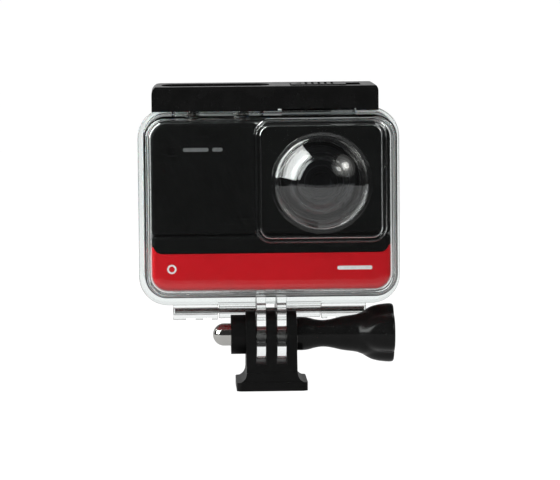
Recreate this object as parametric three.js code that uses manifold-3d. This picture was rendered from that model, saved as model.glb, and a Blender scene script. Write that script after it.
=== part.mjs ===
// A modular 360-degree action camera in its clear dive housing, standing on a three-finger tripod mount.
// Millimetres, +Z up. The front faces -Y and +X is to the right of someone facing it.
// The origin is the middle of the mount's base, on the surface that it stands on.

import * as THREE from 'three';
import { mergeVertices } from 'three/addons/utils/BufferGeometryUtils.js';
import Module from 'manifold-3d';

const wasm = await Module();
wasm.setup();

// ---------------------------------------------------------------- driving dimensions

const GAP = 0.3; // air between neighbouring pieces

const CAMERA = { half: 34.95, low: 29.65, high: 78.75, depth: 13.25, corner: 5, edge: 1.8, wall: 1.3 };
// where the camera's modules meet, and how far back the core's front cover reaches
const SPLIT = { core: 45.9, strip: 40.5, cheek: 42.5, modules: -3.9, covers: 1.5 };
const LENS = { x: 14.5, z: 61.3, radius: 11.5, apex: 21.6, ring: 13 };

const CASE = { half: 36.8, low: 27.7, high: 80.7, depth: 16.3, corner: 6.5, edge: 1.6, wall: 1.5, face: 1.8 };
const CAVITY = {
  half: CASE.half - CASE.wall, low: CASE.low + CASE.wall, high: CASE.high - CASE.wall,
  depth: CASE.depth - CASE.face, corner: 5.2,
};
const SEAM = 6.5; // depth of the joint face between the two shells
const FLANGE = { half: 38.7, low: 23.8, high: 82, thick: 2.45, corner: 8.6 };
// The seal's inner and outer line are distances out from the cavity's wall.
const SEAL = { inner: 1, outer: 2, room: 0.3, grooveDeep: 1.75, deep: 1.45 };
const BOSS = {
  left: -4.8, low: 43.7, right: 33.7, high: 79.5, corner: 4.6, draft: 0.5, depth: 21.5, wall: 1,
};
const DOME = { radius: 15.9, centre: 13.6, thick: 1.9, ring: 14.65, ringThick: 0.4, neck: 13.2 };

const HINGE = { y: 9, z: 21.6, middle: 15.1, reach: 28.7, inner: 2.3, outer: 2.7, pin: 0.75, notch: 1.5 };

const PIVOT = { y: -3, z: 15.7 };
const FINGER = { radius: 7, half: 7.45, slotFrom: 1.45, slotTo: 4.55, floor: 7.7, waist: 10 };
const PRONG = { from: 1.6, to: 4.4, radius: 7.4 };
const BASE = { half: 10.4, front: -13.5, back: 8, rim: 2.3, corner: 1.8, fillet: 2.95, inset: 0.4 };
const SCREW = { radius: 2.5, bore: 2.8, end: -14.4, head: 24.7 };
const NUT = { boss: 5.8, from: -11.8, flats: 8, dome: 3.3, tip: -17.1 };
const SOCKET = { radius: 3.175, outer: 4.3, high: 5.3 }; // 1/4-20 tripod thread
const KNOB = { from: 8.4, end: 36.2, lobe: 5.4, offset: 3.8 };

const LATCH = { left: -34.4, right: 31.8, front: -9.5, low: 82.35, skirt: 81.7, high: 88.9, crown: 89.6 };
const LATCH_PIN = { y: 11, z: 85.9, radius: 1, knuckle: 3.4 };
const EARS = [[-27.4, -20.8], [18.6, 25.2]]; // the door's lugs that hold the latch pin
const EAR_RADIUS = 2.6;
const CATCH = { left: 3.6, right: 25.1, front: -7.5, low: 81.75, crest: -3.2, high: 82.6, back: -1.4 };
const WINDOW = { left: -31.4, right: 0.2, front: -6.4, back: 2.4 };
const LOCK = { left: 6.4, right: 22.6, front: -5.6, back: 1.4, floor: 87.2, top: 89.75, travel: 4 };

const PLUNGER = { y: -2, stem: 1.2, bore: 1.5, head: 2.7, low: 79.25, under: 81.75, top: 82.35 };
const BUTTONS = { shutter: -8, power: -22.5 };
// The camera's own two buttons, under the plungers.
const BUTTON = { radius: 1.9, flange: 2.3, low: 76.3, ledge: 76.7, top: 78.9 };

// ---------------------------------------------------------------- shapes and solids

const X = new THREE.Vector3(1, 0, 0);
const Y = new THREE.Vector3(0, 1, 0);
const Z = new THREE.Vector3(0, 0, 1);
const minusY = new THREE.Vector3(0, -1, 0);
const minusZ = new THREE.Vector3(0, 0, -1);

// where an outline's own x, its own y and its thickness point, for a slab along each axis
const slabFrame = {
  x: new THREE.Matrix4().makeBasis(Y, Z, X),
  y: new THREE.Matrix4().makeBasis(X, Z, minusY),
  z: new THREE.Matrix4().makeBasis(X, Y, Z),
};
// the same for a turned piece, whose own axis is y
const turnFrame = {
  x: new THREE.Matrix4().makeBasis(Y, X, minusZ),
  y: new THREE.Matrix4().makeBasis(X, Y, Z),
  z: new THREE.Matrix4().makeBasis(X, Z, minusY),
};

// A closed manifold solid from any closed three.js geometry.
function solid(geometry) {
  const bare = geometry.clone();
  bare.deleteAttribute('normal');
  bare.deleteAttribute('uv');
  const merged = mergeVertices(bare, 1e-4);
  const points = merged.attributes.position.array;
  const corners = merged.index.array;
  const faces = [];
  let volume = 0;
  for (let i = 0; i < corners.length; i += 3) {
    const [a, b, c] = corners.subarray(i, i + 3);
    if (a === b || b === c || c === a) continue;
    faces.push([a, b, c]);
    const [p, q, r] = [a, b, c].map((n) => new THREE.Vector3().fromArray(points, 3 * n));
    volume += p.dot(q.cross(r));
  }
  if (volume < 0) faces.forEach((face) => face.reverse());
  return new wasm.Manifold(new wasm.Mesh({
    numProp: 3,
    vertProperties: new Float32Array(points),
    triVerts: new Uint32Array(faces.flat()),
  }));
}

const join = (first, ...others) => others.reduce((sum, next) => sum.add(next), first);
const cut = (first, ...others) => others.reduce((rest, next) => rest.subtract(next), first);

function meshOf(name, body, finish) {
  const { numProp, vertProperties, triVerts } = body.getMesh();
  const indexed = new THREE.BufferGeometry();
  indexed.setAttribute('position', new THREE.BufferAttribute(new Float32Array(vertProperties), numProp));
  indexed.setIndex(new THREE.BufferAttribute(new Uint32Array(triVerts), 1));
  const geometry = indexed.toNonIndexed();
  geometry.computeVertexNormals();
  const mesh = new THREE.Mesh(geometry, new THREE.MeshStandardMaterial(finish));
  mesh.name = name;
  return mesh;
}

// A rectangle with round corners; radii run anticlockwise from the lower left corner.
function plate(left, low, right, high, radii) {
  const [a, b, c, d] = Array.isArray(radii) ? radii : [radii, radii, radii, radii];
  const quarter = Math.PI / 2;
  return new THREE.Shape()
    .moveTo(left + a, low)
    .lineTo(right - b, low)
    .absarc(right - b, low + b, b, -quarter, 0)
    .lineTo(right, high - c)
    .absarc(right - c, high - c, c, 0, quarter)
    .lineTo(left + d, high)
    .absarc(left + d, high - d, d, quarter, 2 * quarter)
    .lineTo(left, low + a)
    .absarc(left + a, low + a, a, 2 * quarter, 3 * quarter);
}

const disc = (u, v, radius) => new THREE.Shape().absarc(u, v, radius, 0, 2 * Math.PI);

const polygon = (points) => new THREE.Shape(points.map(([u, v]) => new THREE.Vector2(u, v)));

const hexagon = (u, v, flats) => polygon([0, 1, 2, 3, 4, 5].map((side) => {
  const angle = (side + 0.5) * Math.PI / 3;
  const corner = flats / Math.sqrt(3);
  return [u + corner * Math.cos(angle), v + corner * Math.sin(angle)];
}));

// An outline made thick along an axis. The outline lies in YZ, XZ or XY, and edge rounds its rims.
function slab(axis, shape, from, to, { edge = 0, steps = 3, rim = 2 } = {}) {
  const geometry = new THREE.ExtrudeGeometry(shape, {
    depth: to - from - 2 * edge,
    bevelEnabled: edge > 0,
    bevelThickness: edge,
    bevelSize: edge,
    bevelOffset: -edge,
    bevelSegments: rim,
    curveSegments: steps,
  });
  geometry.translate(0, 0, edge);
  geometry.applyMatrix4(slabFrame[axis]);
  const start = { x: [from, 0, 0], y: [0, to, 0], z: [0, 0, from] };
  geometry.translate(...start[axis]);
  return solid(geometry);
}

const box = (x0, y0, z0, x1, y1, z1) => slab('z', polygon([[x0, y0], [x1, y0], [x1, y1], [x0, y1]]), z0, z1);

const rod = (axis, u, v, radius, from, to, steps = 10) => slab(axis, disc(u, v, radius), from, to, { steps });

// A profile of [distance along the axis, radius] points turned about an axis through the given point.
function turned(axis, centre, profile, sides = 32) {
  const points = profile.map(([along, radius]) => new THREE.Vector2(radius, along));
  const first = points[0];
  const last = points[points.length - 1];
  if (first.x > 0 || last.x > 0) points.push(first.clone());
  const geometry = new THREE.LatheGeometry(points, sides);
  geometry.applyMatrix4(turnFrame[axis]);
  geometry.translate(...centre);
  return solid(geometry);
}

const ring = (axis, centre, inner, outer, from, to, sides = 24) => turned(
  axis, centre, [[from, inner], [from, outer], [to, outer], [to, inner]], sides,
);

// Points of a circle about a centre on the axis, between two angles from the axis.
function arc(centre, radius, fromAngle, toAngle, count) {
  return Array.from({ length: count + 1 }, (_, i) => {
    const angle = fromAngle + (toAngle - fromAngle) * i / count;
    return [centre - radius * Math.cos(angle), radius * Math.sin(angle)];
  });
}

// ---------------------------------------------------------------- finishes

const black = { color: 0x141416, roughness: 0.35, metalness: 0 };
const satin = { color: 0x1b1b1d, roughness: 0.55, metalness: 0 };
const red = { color: 0xb8121c, roughness: 0.35, metalness: 0 };
const clear = { color: 0xe8eeee, roughness: 0.05, metalness: 0, transparent: true, opacity: 0.35 };
const glass = { color: 0xcdd3d8, roughness: 0.03, metalness: 0, transparent: true, opacity: 0.4 };
const steel = { color: 0xc4c6c8, roughness: 0.22, metalness: 1 };
const brass = { color: 0xb99a4e, roughness: 0.3, metalness: 1 };
const rubber = { color: 0x8c8f91, roughness: 0.8, metalness: 0 };
const board = { color: 0x17552f, roughness: 0.5, metalness: 0 };
const foil = { color: 0x6f7378, roughness: 0.45, metalness: 0.6 };

// ---------------------------------------------------------------- tripod mount

function mountBracket() {
  const reach = FINGER.radius;
  const [front, back] = [BASE.front + BASE.inset, BASE.back - BASE.inset];
  const fingers = slab('x', new THREE.Shape()
    .moveTo(front, BASE.rim)
    .lineTo(back, BASE.rim)
    .lineTo(PIVOT.y + reach, FINGER.waist)
    .lineTo(PIVOT.y + reach, PIVOT.z)
    .absarc(PIVOT.y, PIVOT.z, reach, 0, Math.PI)
    .lineTo(PIVOT.y - reach, FINGER.waist), -FINGER.half, FINGER.half, { steps: 8 });
  const foot = slab('z', plate(-BASE.half, BASE.front, BASE.half, BASE.back, BASE.corner), 0, BASE.rim + 0.2);
  // a concave flare from the block out to the foot, on the left and right
  const flareHigh = BASE.rim + BASE.fillet;
  const flare = slab('y', new THREE.Shape()
    .moveTo(-BASE.half, BASE.rim)
    .lineTo(BASE.half, BASE.rim)
    .absarc(BASE.half, flareHigh, BASE.fillet, 1.5 * Math.PI, Math.PI, true)
    .lineTo(-FINGER.half, flareHigh)
    .absarc(-BASE.half, flareHigh, BASE.fillet, 0, -0.5 * Math.PI, true), front, back);
  const nutBoss = rod('x', PIVOT.y, PIVOT.z, NUT.boss, NUT.from, -FINGER.half + 0.5, 12);
  const pocketShape = hexagon(PIVOT.y, PIVOT.z, NUT.flats + 2 * GAP);
  const nutPocket = slab('x', pocketShape, NUT.from - 1, -FINGER.half - GAP);
  const bore = rod('x', PIVOT.y, PIVOT.z, SCREW.bore, -FINGER.half - 1, FINGER.half + 1);
  const slot = (from, to) => box(from, -30, FINGER.floor, to, 30, 30);
  const socket = rod('z', 0, PIVOT.y, SOCKET.outer + GAP, -1, SOCKET.high + GAP);
  return cut(
    join(fingers, foot, flare, nutBoss), nutPocket, bore, socket,
    slot(FINGER.slotFrom, FINGER.slotTo), slot(-FINGER.slotTo, -FINGER.slotFrom),
  );
}

const threadInsert = () => ring('z', [0, PIVOT.y, 0], SOCKET.radius, SOCKET.outer, GAP, SOCKET.high);

function acornNut() {
  const body = slab('x', hexagon(PIVOT.y, PIVOT.z, NUT.flats), NUT.from + 0.2, -FINGER.half - 2 * GAP);
  const tip = NUT.tip + NUT.dome;
  const cap = turned('x', [0, PIVOT.y, PIVOT.z], [
    ...arc(tip, NUT.dome, 0, Math.PI / 2, 6), [NUT.from + 1, NUT.dome], [NUT.from + 1, 0],
  ], 24);
  return cut(join(body, cap), rod('x', PIVOT.y, PIVOT.z, SCREW.radius + 0.25, SCREW.end - 0.6, 0));
}

function thumbScrew() {
  const shank = rod('x', PIVOT.y, PIVOT.z, SCREW.radius, SCREW.end, SCREW.head + 1, 12);
  return join(shank, slab('x', hexagon(PIVOT.y, PIVOT.z, 7), SCREW.head, SCREW.head + 3));
}

const thumbWasher = () => ring(
  'x', [0, PIVOT.y, PIVOT.z], SCREW.bore + 0.1, 4.4, FINGER.half + 0.2, KNOB.from - 0.25, 24,
);

function thumbKnob() {
  const centre = [0, PIVOT.y, PIVOT.z];
  const neck = turned('x', centre, [
    [KNOB.from, 0], [KNOB.from, 4.4], [9, 4.95], [11, 4.75], [13, 4.15], [15, 3.9], [17, 4.05], [19, 4.5],
    [21, 5], [23.5, 5.3], [25.5, 5.6], [27, 6.3], [KNOB.end - 1.4, 6.3], [KNOB.end - 1, 0],
  ], 28);
  const lobes = [5, 125, 245].map((degrees) => {
    const angle = THREE.MathUtils.degToRad(degrees);
    const y = PIVOT.y - KNOB.offset * Math.cos(angle);
    const z = PIVOT.z + KNOB.offset * Math.sin(angle);
    const radius = KNOB.lobe;
    return turned('x', [0, y, z], [
      [24.6, 0], [25.2, radius - 3.4], [26.6, radius - 1.6], [28.6, radius - 0.35], [30.5, radius],
      [KNOB.end - 1, radius - 0.1], [KNOB.end - 0.2, radius - 0.7], [KNOB.end, radius - 1.6], [KNOB.end, 0],
    ], 18);
  });
  const bore = rod('x', PIVOT.y, PIVOT.z, SCREW.bore, KNOB.from - 1, SCREW.head);
  const headRoom = rod('x', PIVOT.y, PIVOT.z, 4.4, SCREW.head - GAP, SCREW.head + 3 + GAP);
  return cut(join(neck, ...lobes), bore, headRoom);
}

// ---------------------------------------------------------------- dive housing

// A slab around the cavity's wall, inset to outset from it, where the door's seal runs.
function sealLoop(inset, outset, from, to) {
  const outline = (distance) => plate(
    -CAVITY.half - distance, CAVITY.low - distance,
    CAVITY.half + distance, CAVITY.high + distance, CAVITY.corner + distance,
  );
  return slab('y', outline(outset), from, to).subtract(slab('y', outline(inset), from - 1, to + 1));
}

// One half of the clear case, made facing the front, from its face at y = -depth to the seam. Side is 1 for
// the front shell and -1 for the back shell, which is mirrored left to right.
function caseHalf(side) {
  // how far the half runs behind the middle, as seen from its own face
  const seam = side * SEAM - GAP / 2;
  const body = slab('y', plate(-CASE.half, CASE.low, CASE.half, CASE.high, CASE.corner), -CASE.depth, 20,
    { edge: CASE.edge });
  const flange = slab('y', plate(-FLANGE.half, FLANGE.low, FLANGE.half, FLANGE.high, FLANGE.corner),
    seam - FLANGE.thick, seam);
  const raise = BOSS.depth - CASE.depth;
  const boss = (inset, face) => {
    const [left, right] = side > 0 ? [BOSS.left, BOSS.right] : [-BOSS.right, -BOSS.left];
    const outline = plate(
      left + inset, BOSS.low + inset, right - inset, BOSS.high - inset, BOSS.corner - inset,
    );
    const geometry = new THREE.ExtrudeGeometry(outline, {
      depth: 4, bevelEnabled: true, bevelThickness: raise, bevelSize: BOSS.draft, bevelOffset: -BOSS.draft,
      bevelSegments: 1, curveSegments: 3,
    });
    geometry.applyMatrix4(slabFrame.y);
    // the far end of an outline's thickness is its face
    geometry.translate(0, face + raise + 4, 0);
    return solid(geometry).subtract(box(-50, face + raise + 2, 0, 50, 50, 100));
  };
  const inside = slab('y', plate(-CAVITY.half, CAVITY.low, CAVITY.half, CAVITY.high, CAVITY.corner),
    -CAVITY.depth, 30, { edge: 0.8 });
  const pocket = boss(BOSS.wall, CASE.face - BOSS.depth);
  const hole = rod('y', side * LENS.x, LENS.z, DOME.neck + GAP, -30, -CASE.depth, 16);
  const beyond = box(-50, seam, 0, 50, 60, 120);
  return cut(join(body.subtract(beyond), flange, boss(0, -BOSS.depth)), inside, pocket, hole);
}

// A solid made facing the front, turned about the vertical axis to face the back.
const turnAbout = (body) => body.rotate([0, 0, 180]);

function prong(from, to) {
  const top = CASE.low + 0.6;
  const shape = new THREE.Shape()
    .moveTo(PIVOT.y + PRONG.radius, PIVOT.z)
    .lineTo(PIVOT.y + PRONG.radius + 2, top)
    .lineTo(PIVOT.y - PRONG.radius, top)
    .lineTo(PIVOT.y - PRONG.radius, PIVOT.z)
    .absarc(PIVOT.y, PIVOT.z, PRONG.radius, Math.PI, 2 * Math.PI);
  return slab('x', shape, from, to, { steps: 8 });
}

const hingeBore = () => rod('x', HINGE.y, HINGE.z, HINGE.pin + GAP, -40, 40, 6);

function frontShell() {
  const web = (from, to) => join(
    rod('x', HINGE.y, HINGE.z, HINGE.inner, from, to, 9),
    box(from, 4.2, 20.3, to, HINGE.y - 1, HINGE.z + 1.2),
    box(from, 4.2, 20.3, to, SEAM - GAP / 2, FLANGE.low + 1),
  );
  const halves = [[HINGE.notch, HINGE.middle], [-HINGE.middle, -HINGE.notch]];
  const knuckles = halves.map(([from, to]) => web(from, to));
  const prongs = [prong(PRONG.from, PRONG.to), prong(-PRONG.to, -PRONG.from)];
  const collars = Object.values(BUTTONS).map((x) => rod('z', x, PLUNGER.y, 3.1, CASE.high - 0.5, 81, 8));
  // the catch under the latch bar rises gently to the back, so the hook can slide off it
  const catchRidge = slab('x', polygon([
    [CATCH.front, CASE.high - 0.5], [CATCH.front, CATCH.low], [CATCH.crest, CATCH.high],
    [CATCH.back - 0.6, CATCH.high], [CATCH.back, CASE.high - 0.5],
  ]), CATCH.left, CATCH.right);
  // each plunger's bore opens below for its clip and above for its seal and spring
  const bores = Object.values(BUTTONS).flatMap((x) => [
    rod('z', x, PLUNGER.y, PLUNGER.bore, 70, 90, 8),
    rod('z', x, PLUNGER.y, 2.15, CAVITY.high - 1, 79.75, 8),
    rod('z', x, PLUNGER.y, 2.35, 80.2, 82, 8),
  ]);
  const shell = join(caseHalf(1), ...knuckles, ...prongs, ...collars, catchRidge);
  return cut(shell, hingeBore(), rod('x', PIVOT.y, PIVOT.z, SCREW.bore, -8, 8), ...bores);
}

function backShell() {
  const bare = turnAbout(caseHalf(-1));
  const seam = SEAM + GAP / 2;
  const ends = [[HINGE.middle + GAP, HINGE.reach], [-HINGE.reach, -HINGE.middle - GAP]];
  const knuckles = ends.map(([from, to]) => join(
    rod('x', HINGE.y, HINGE.z, HINGE.outer, from, to, 9),
    box(from, seam, HINGE.z, to, seam + FLANGE.thick, FLANGE.low + 1),
  ));
  const ears = EARS.map(([from, to]) => slab('x', new THREE.Shape()
    .moveTo(LATCH_PIN.y - EAR_RADIUS, CASE.high - 0.6)
    .lineTo(LATCH_PIN.y + 4, CASE.high - 0.6)
    .lineTo(LATCH_PIN.y + EAR_RADIUS, LATCH_PIN.z)
    .absarc(LATCH_PIN.y, LATCH_PIN.z, EAR_RADIUS, 0, Math.PI), from, to, { steps: 5 }));
  // room for the front shell's middle knuckles
  const room = join(
    rod('x', HINGE.y, HINGE.z, HINGE.inner + 0.45, -HINGE.middle - GAP, HINGE.middle + GAP, 9),
    box(-HINGE.middle - GAP, 0, 18, HINGE.middle + GAP, HINGE.y, HINGE.z + 1.7),
  );
  const groove = sealLoop(SEAL.inner - SEAL.room, SEAL.outer + SEAL.room, SEAM, SEAM + SEAL.grooveDeep);
  const shell = cut(join(bare, ...knuckles, ...ears), room, groove, hingeBore());
  return cut(shell, rod('x', LATCH_PIN.y, LATCH_PIN.z, LATCH_PIN.radius + GAP, -40, 40, 6));
}

const doorSeal = () => sealLoop(SEAL.inner, SEAL.outer, SEAM + 0.2, SEAM + SEAL.deep);

const hingePin = () => rod('x', HINGE.y, HINGE.z, HINGE.pin, -HINGE.reach + 0.5, HINGE.reach - 0.5, 6);

// A dome over a lens, its axis through the origin, its face towards -Y.
function housingDome() {
  const inner = DOME.radius - DOME.thick;
  const face = -BOSS.depth - GAP;
  const ringFront = face - DOME.ringThick;
  const neckEnd = CASE.face - BOSS.depth - 0.1;
  const reach = (y, radius) => Math.sqrt(radius ** 2 - (y + DOME.centre) ** 2);
  const outerEdge = Math.asin(reach(ringFront, DOME.radius) / DOME.radius);
  const innerEdge = Math.asin(reach(neckEnd, inner) / inner);
  return turned('y', [0, 0, 0], [
    ...arc(-DOME.centre, DOME.radius, 0, outerEdge, 7),
    [ringFront, DOME.ring], [face, DOME.ring], [face, DOME.neck], [neckEnd, DOME.neck],
    ...arc(-DOME.centre, inner, innerEdge, 0, 6),
  ], 28);
}

// ---------------------------------------------------------------- latch

function latchBar() {
  const { y, z, knuckle } = LATCH_PIN;
  // the bar's section, from the front's lower edge round to the knuckle behind
  const section = new THREE.Shape()
    .moveTo(LATCH.front, LATCH.skirt)
    .lineTo(LATCH.front + 1.3, LATCH.skirt)
    .lineTo(LATCH.front + 1.3, LATCH.low + 0.6)
    .lineTo(y - 4, LATCH.low + 0.6)
    .lineTo(y - 1.2, z - knuckle + 0.2)
    .absarc(y, z, knuckle, -0.5 * Math.PI, 0.45 * Math.PI)
    .lineTo(6, LATCH.crown)
    .lineTo(LATCH.front + 0.9, LATCH.high)
    .lineTo(LATCH.front, LATCH.high - 0.8);
  const run = slab('x', section, LATCH.left, LATCH.right, { steps: 5 });
  const outline = plate(LATCH.left, LATCH.skirt - 1, LATCH.right, LATCH.crown + 0.5, [0.5, 0.5, 1.6, 2.2]);
  const whole = run.intersect(slab('y', outline, -30, 30));
  const windowShape = plate(WINDOW.left, WINDOW.front, WINDOW.right, WINDOW.back, 3.7);
  const window = slab('z', windowShape, 70, 100, { steps: 4 });
  const earRoom = EARS.map(([from, to]) => box(from - 0.35, y - 4.4, 70, to + 0.35, y + 10, 100));
  // the skirt stops at the catch, and the hook there only reaches the catch's foot
  const catchRoom = box(2.4, LATCH.front - 1, 70, 25.25, LATCH.front + 1.4, LATCH.low);
  const padRoom = box(25, LATCH.front + 1.2, 70, 31.4, -3.8, LATCH.low + 0.75);
  const lockRoom = box(
    LOCK.left - 0.4, LOCK.front - 0.35, LOCK.floor,
    LOCK.right + LOCK.travel + 0.4, LOCK.back + 0.35, 100,
  );
  const bore = rod('x', y, z, LATCH_PIN.radius + GAP, -40, 40, 6);
  return cut(whole, window, ...earRoom, catchRoom, padRoom, lockRoom, bore);
}

const latchPin = () => rod(
  'x', LATCH_PIN.y, LATCH_PIN.z, LATCH_PIN.radius, LATCH.left + 0.8, LATCH.right - 0.8, 6,
);

function latchLock() {
  const { left, right, front, back, floor, top } = LOCK;
  const outline = plate(left, front, right, back, 0.8);
  const block = slab('z', outline, floor + GAP, top, { edge: 0.3, rim: 1, steps: 1 });
  const groove = (x) => box(x, front + 1, top - 0.3, x + 0.7, back - 1, top + 1);
  return cut(block, ...[0, 1, 2, 3, 4].map((n) => groove(left + 4.2 + 1.9 * n)));
}

const latchPad = () => box(25.3, LATCH.front + 1.6, 81.05, 31, -4.2, LATCH.low + 0.4);

// ---------------------------------------------------------------- housing buttons

class Helix extends THREE.Curve {
  constructor(radius, low, high, turns) {
    super();
    Object.assign(this, { radius, low, high, turns });
  }

  getPoint(t, target = new THREE.Vector3()) {
    const angle = t * this.turns * 2 * Math.PI;
    const height = THREE.MathUtils.lerp(this.low, this.high, t);
    return target.set(this.radius * Math.cos(angle), this.radius * Math.sin(angle), height);
  }
}

// The button pieces are made about their own upright axis.
const plunger = () => turned('z', [0, 0, 0], [
  [PLUNGER.low, 0], [PLUNGER.low, PLUNGER.stem], [PLUNGER.under, PLUNGER.stem], [PLUNGER.under, PLUNGER.head],
  [PLUNGER.top - 0.2, PLUNGER.head], [PLUNGER.top, PLUNGER.head - 0.3], [PLUNGER.top, 0],
], 18);

function returnSpring() {
  const wire = new THREE.Shape().absarc(0, 0, 0.13, 0, 2 * Math.PI);
  const path = new Helix(1.95, 80.85, 81.5, 1.6);
  return solid(new THREE.ExtrudeGeometry(wire, {
    steps: 28, extrudePath: path, bevelEnabled: false, curveSegments: 2,
  }));
}

const plungerClip = () => ring('z', [0, 0, 0], PLUNGER.stem + 0.05, 1.85, 79.35, 79.6, 16);

const oRing = () => turned('z', [0, 0, 0], Array.from({ length: 6 }, (_, i) => {
  const angle = i * Math.PI / 3;
  return [80.43 + 0.17 * Math.sin(angle), 1.53 + 0.17 * Math.cos(angle)];
}), 14);

const cameraButton = () => turned('z', [0, 0, 0], [
  [BUTTON.low, 0], [BUTTON.low, BUTTON.flange], [BUTTON.ledge, BUTTON.flange], [BUTTON.ledge, BUTTON.radius],
  [BUTTON.top - 0.2, BUTTON.radius], [BUTTON.top, BUTTON.radius - 0.2], [BUTTON.top, 0],
], 16);

// ---------------------------------------------------------------- camera

// A hollow module of the camera between y = -depth and +depth, with its own corner radii.
function moduleShell(left, low, right, high, radii) {
  const { depth, edge, wall } = CAMERA;
  const rounding = Math.min(edge, Math.min(...radii) - 0.3);
  const outer = slab('y', plate(left, low, right, high, radii), -depth, depth, { edge: rounding });
  const hollow = plate(left + wall, low + wall, right - wall, high - wall, 1);
  return outer.subtract(slab('y', hollow, wall - depth, depth - wall));
}

const frontOf = (body, y) => body.subtract(box(-60, y - GAP / 2, 0, 60, 60, 120));
const backOf = (body, y) => body.subtract(box(-60, -60, 0, 60, y + GAP / 2, 120));

const coreShell = () => moduleShell(
  -CAMERA.half, SPLIT.core, SPLIT.modules - GAP, CAMERA.high, [2.6, 1.8, 1.8, CAMERA.corner]);
const lensShell = () => moduleShell(
  SPLIT.modules + GAP, SPLIT.core, CAMERA.half, CAMERA.high, [1.8, 2.6, CAMERA.corner, 1.8]);

const LIGHT = { x: -28.7, z: 70.4, half: 1.25 };
const PORTS = [[-28.4, 50.8], [-9.6, 50.9], [-7.9, 50.9], [-6.2, 50.9]]; // microphone openings in the front

function coreFrontCover() {
  const { x: lightX, z: lightZ, half } = LIGHT;
  const light = box(lightX - half, -20, lightZ - half, lightX + half, -5, lightZ + half);
  const ports = PORTS.map(([x, z]) => rod('y', x, z, 0.5, -20, -5, 4));
  const wells = Object.values(BUTTONS).map((x) => rod('z', x, PLUNGER.y, BUTTON.radius + GAP, 77, 90, 8));
  return cut(frontOf(coreShell(), SPLIT.covers), light, ...ports, ...wells);
}

const SCREEN = { left: -32.4, low: 50, right: -6.8, high: 76.2 };

function screenPlate(inset, from, to) {
  const { left, low, right, high } = SCREEN;
  const outline = plate(left + inset, low + inset, right - inset, high - inset, 1.2);
  return slab('y', outline, from, to, { steps: 2 });
}

const coreBackCover = () => backOf(coreShell(), SPLIT.covers).subtract(screenPlate(0, 5, 20));

const lensOpening = () => rod('y', LENS.x, LENS.z, LENS.ring + GAP, -30, 30, 14);

const lightWindow = () => box(
  LIGHT.x - LIGHT.half + GAP, -13.2, LIGHT.z - LIGHT.half + GAP,
  LIGHT.x + LIGHT.half - GAP, -12, LIGHT.z + LIGHT.half - GAP);

// The battery base is red below a line that climbs at the camera's two ends, and black above it.
function batteryLine(raise) {
  const { strip, cheek } = SPLIT;
  const end = CAMERA.half + 2;
  return new THREE.Shape()
    .moveTo(-end, 20)
    .lineTo(end, 20)
    .lineTo(end, cheek + raise)
    .lineTo(CAMERA.half - 0.7, cheek + raise)
    .quadraticCurveTo(CAMERA.half - 1.4, strip + raise, CAMERA.half - 3.4, strip + raise)
    .lineTo(-CAMERA.half + 3.4, strip + raise)
    .quadraticCurveTo(-CAMERA.half + 1.4, strip + raise, -CAMERA.half + 0.7, cheek + raise)
    .lineTo(-end, cheek + raise);
}

const batteryBody = () => slab('y', plate(
  -CAMERA.half, CAMERA.low, CAMERA.half, SPLIT.core - GAP, [CAMERA.corner, CAMERA.corner, 1.8, 1.8]),
-CAMERA.depth, CAMERA.depth, { edge: 1.5 });

function batteryShell() {
  const { half, low, wall, depth } = CAMERA;
  const inside = slab('y', plate(wall - half, low + wall, half - wall, 60, 3.7), wall - depth, depth - wall);
  return batteryBody().intersect(slab('y', batteryLine(0), -30, 30)).subtract(inside);
}

const batteryTop = () => batteryBody().subtract(slab('y', batteryLine(GAP), -30, 30));

const batteryCell = () => slab('y', plate(-32.6, 31.6, 32.6, 40.1, 3.2), -11.2, 11.2, {
  edge: 0.8, rim: 1, steps: 2,
});

// Lens pieces are made about the optical axis, facing -Y.
function lensGlass() {
  const base = CAMERA.depth + 0.15;
  const height = LENS.apex - base;
  const bow = (radius, rise) => (radius ** 2 + rise ** 2) / (2 * rise);
  const outer = bow(LENS.radius, height);
  const inner = bow(LENS.radius - 1.3, height - 1.4);
  return turned('y', [0, 0, 0], [
    ...arc(outer - LENS.apex, outer, 0, Math.asin(LENS.radius / outer), 6),
    ...arc(inner - LENS.apex + 1.4, inner, Math.asin((LENS.radius - 1.3) / inner), 0, 5),
  ], 24);
}

const lensRing = () => turned('y', [0, 0, 0], [
  [-11.6, 11.8], [-11.6, LENS.ring], [-13.9, LENS.ring], [-14.3, LENS.ring - 0.4],
  [-14.3, 12.2], [-13.9, 11.8],
], 28);

const lensBarrel = () => turned('y', [0, 0, 0], [
  [-2.4, 0], [-2.4, 6], [-8, 6.4], [-8, 9.4], [-12, 9.9], [-12.9, 9.9], [-12.9, 8.4], [-14.2, 7.9],
  [-14.2, 6.6], [-15.6, 6.1], [-15.6, 4.8], [-16.4, 4.4], [-16.4, 3], [-15.4, 2.2], [-16, 1.2], [-16.15, 0],
], 20);

const imageSensor = () => box(-4.2, -1.9, -3.6, 4.2, -1.1, 3.6);

// ---------------------------------------------------------------- assembly

const model = new THREE.Group();
const place = (group, name, body, finish) => group.add(meshOf(name, body, finish));

const mount = new THREE.Group();
place(mount, 'mount_bracket', mountBracket(), satin);
place(mount, 'tripod_thread_insert', threadInsert(), brass);
place(mount, 'acorn_nut', acornNut(), steel);
place(mount, 'thumb_screw', thumbScrew(), steel);
place(mount, 'thumb_washer', thumbWasher(), steel);
place(mount, 'thumb_knob', thumbKnob(), black);

const housing = new THREE.Group();
place(housing, 'front_shell', frontShell(), clear);
place(housing, 'back_shell', backShell(), clear);
place(housing, 'door_seal', doorSeal(), rubber);
place(housing, 'hinge_pin', hingePin(), steel);

const latch = new THREE.Group();
place(latch, 'latch_bar', latchBar(), black);
place(latch, 'latch_pin', latchPin(), steel);
place(latch, 'latch_lock', latchLock(), black);
place(latch, 'latch_pad', latchPad(), rubber);

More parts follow.
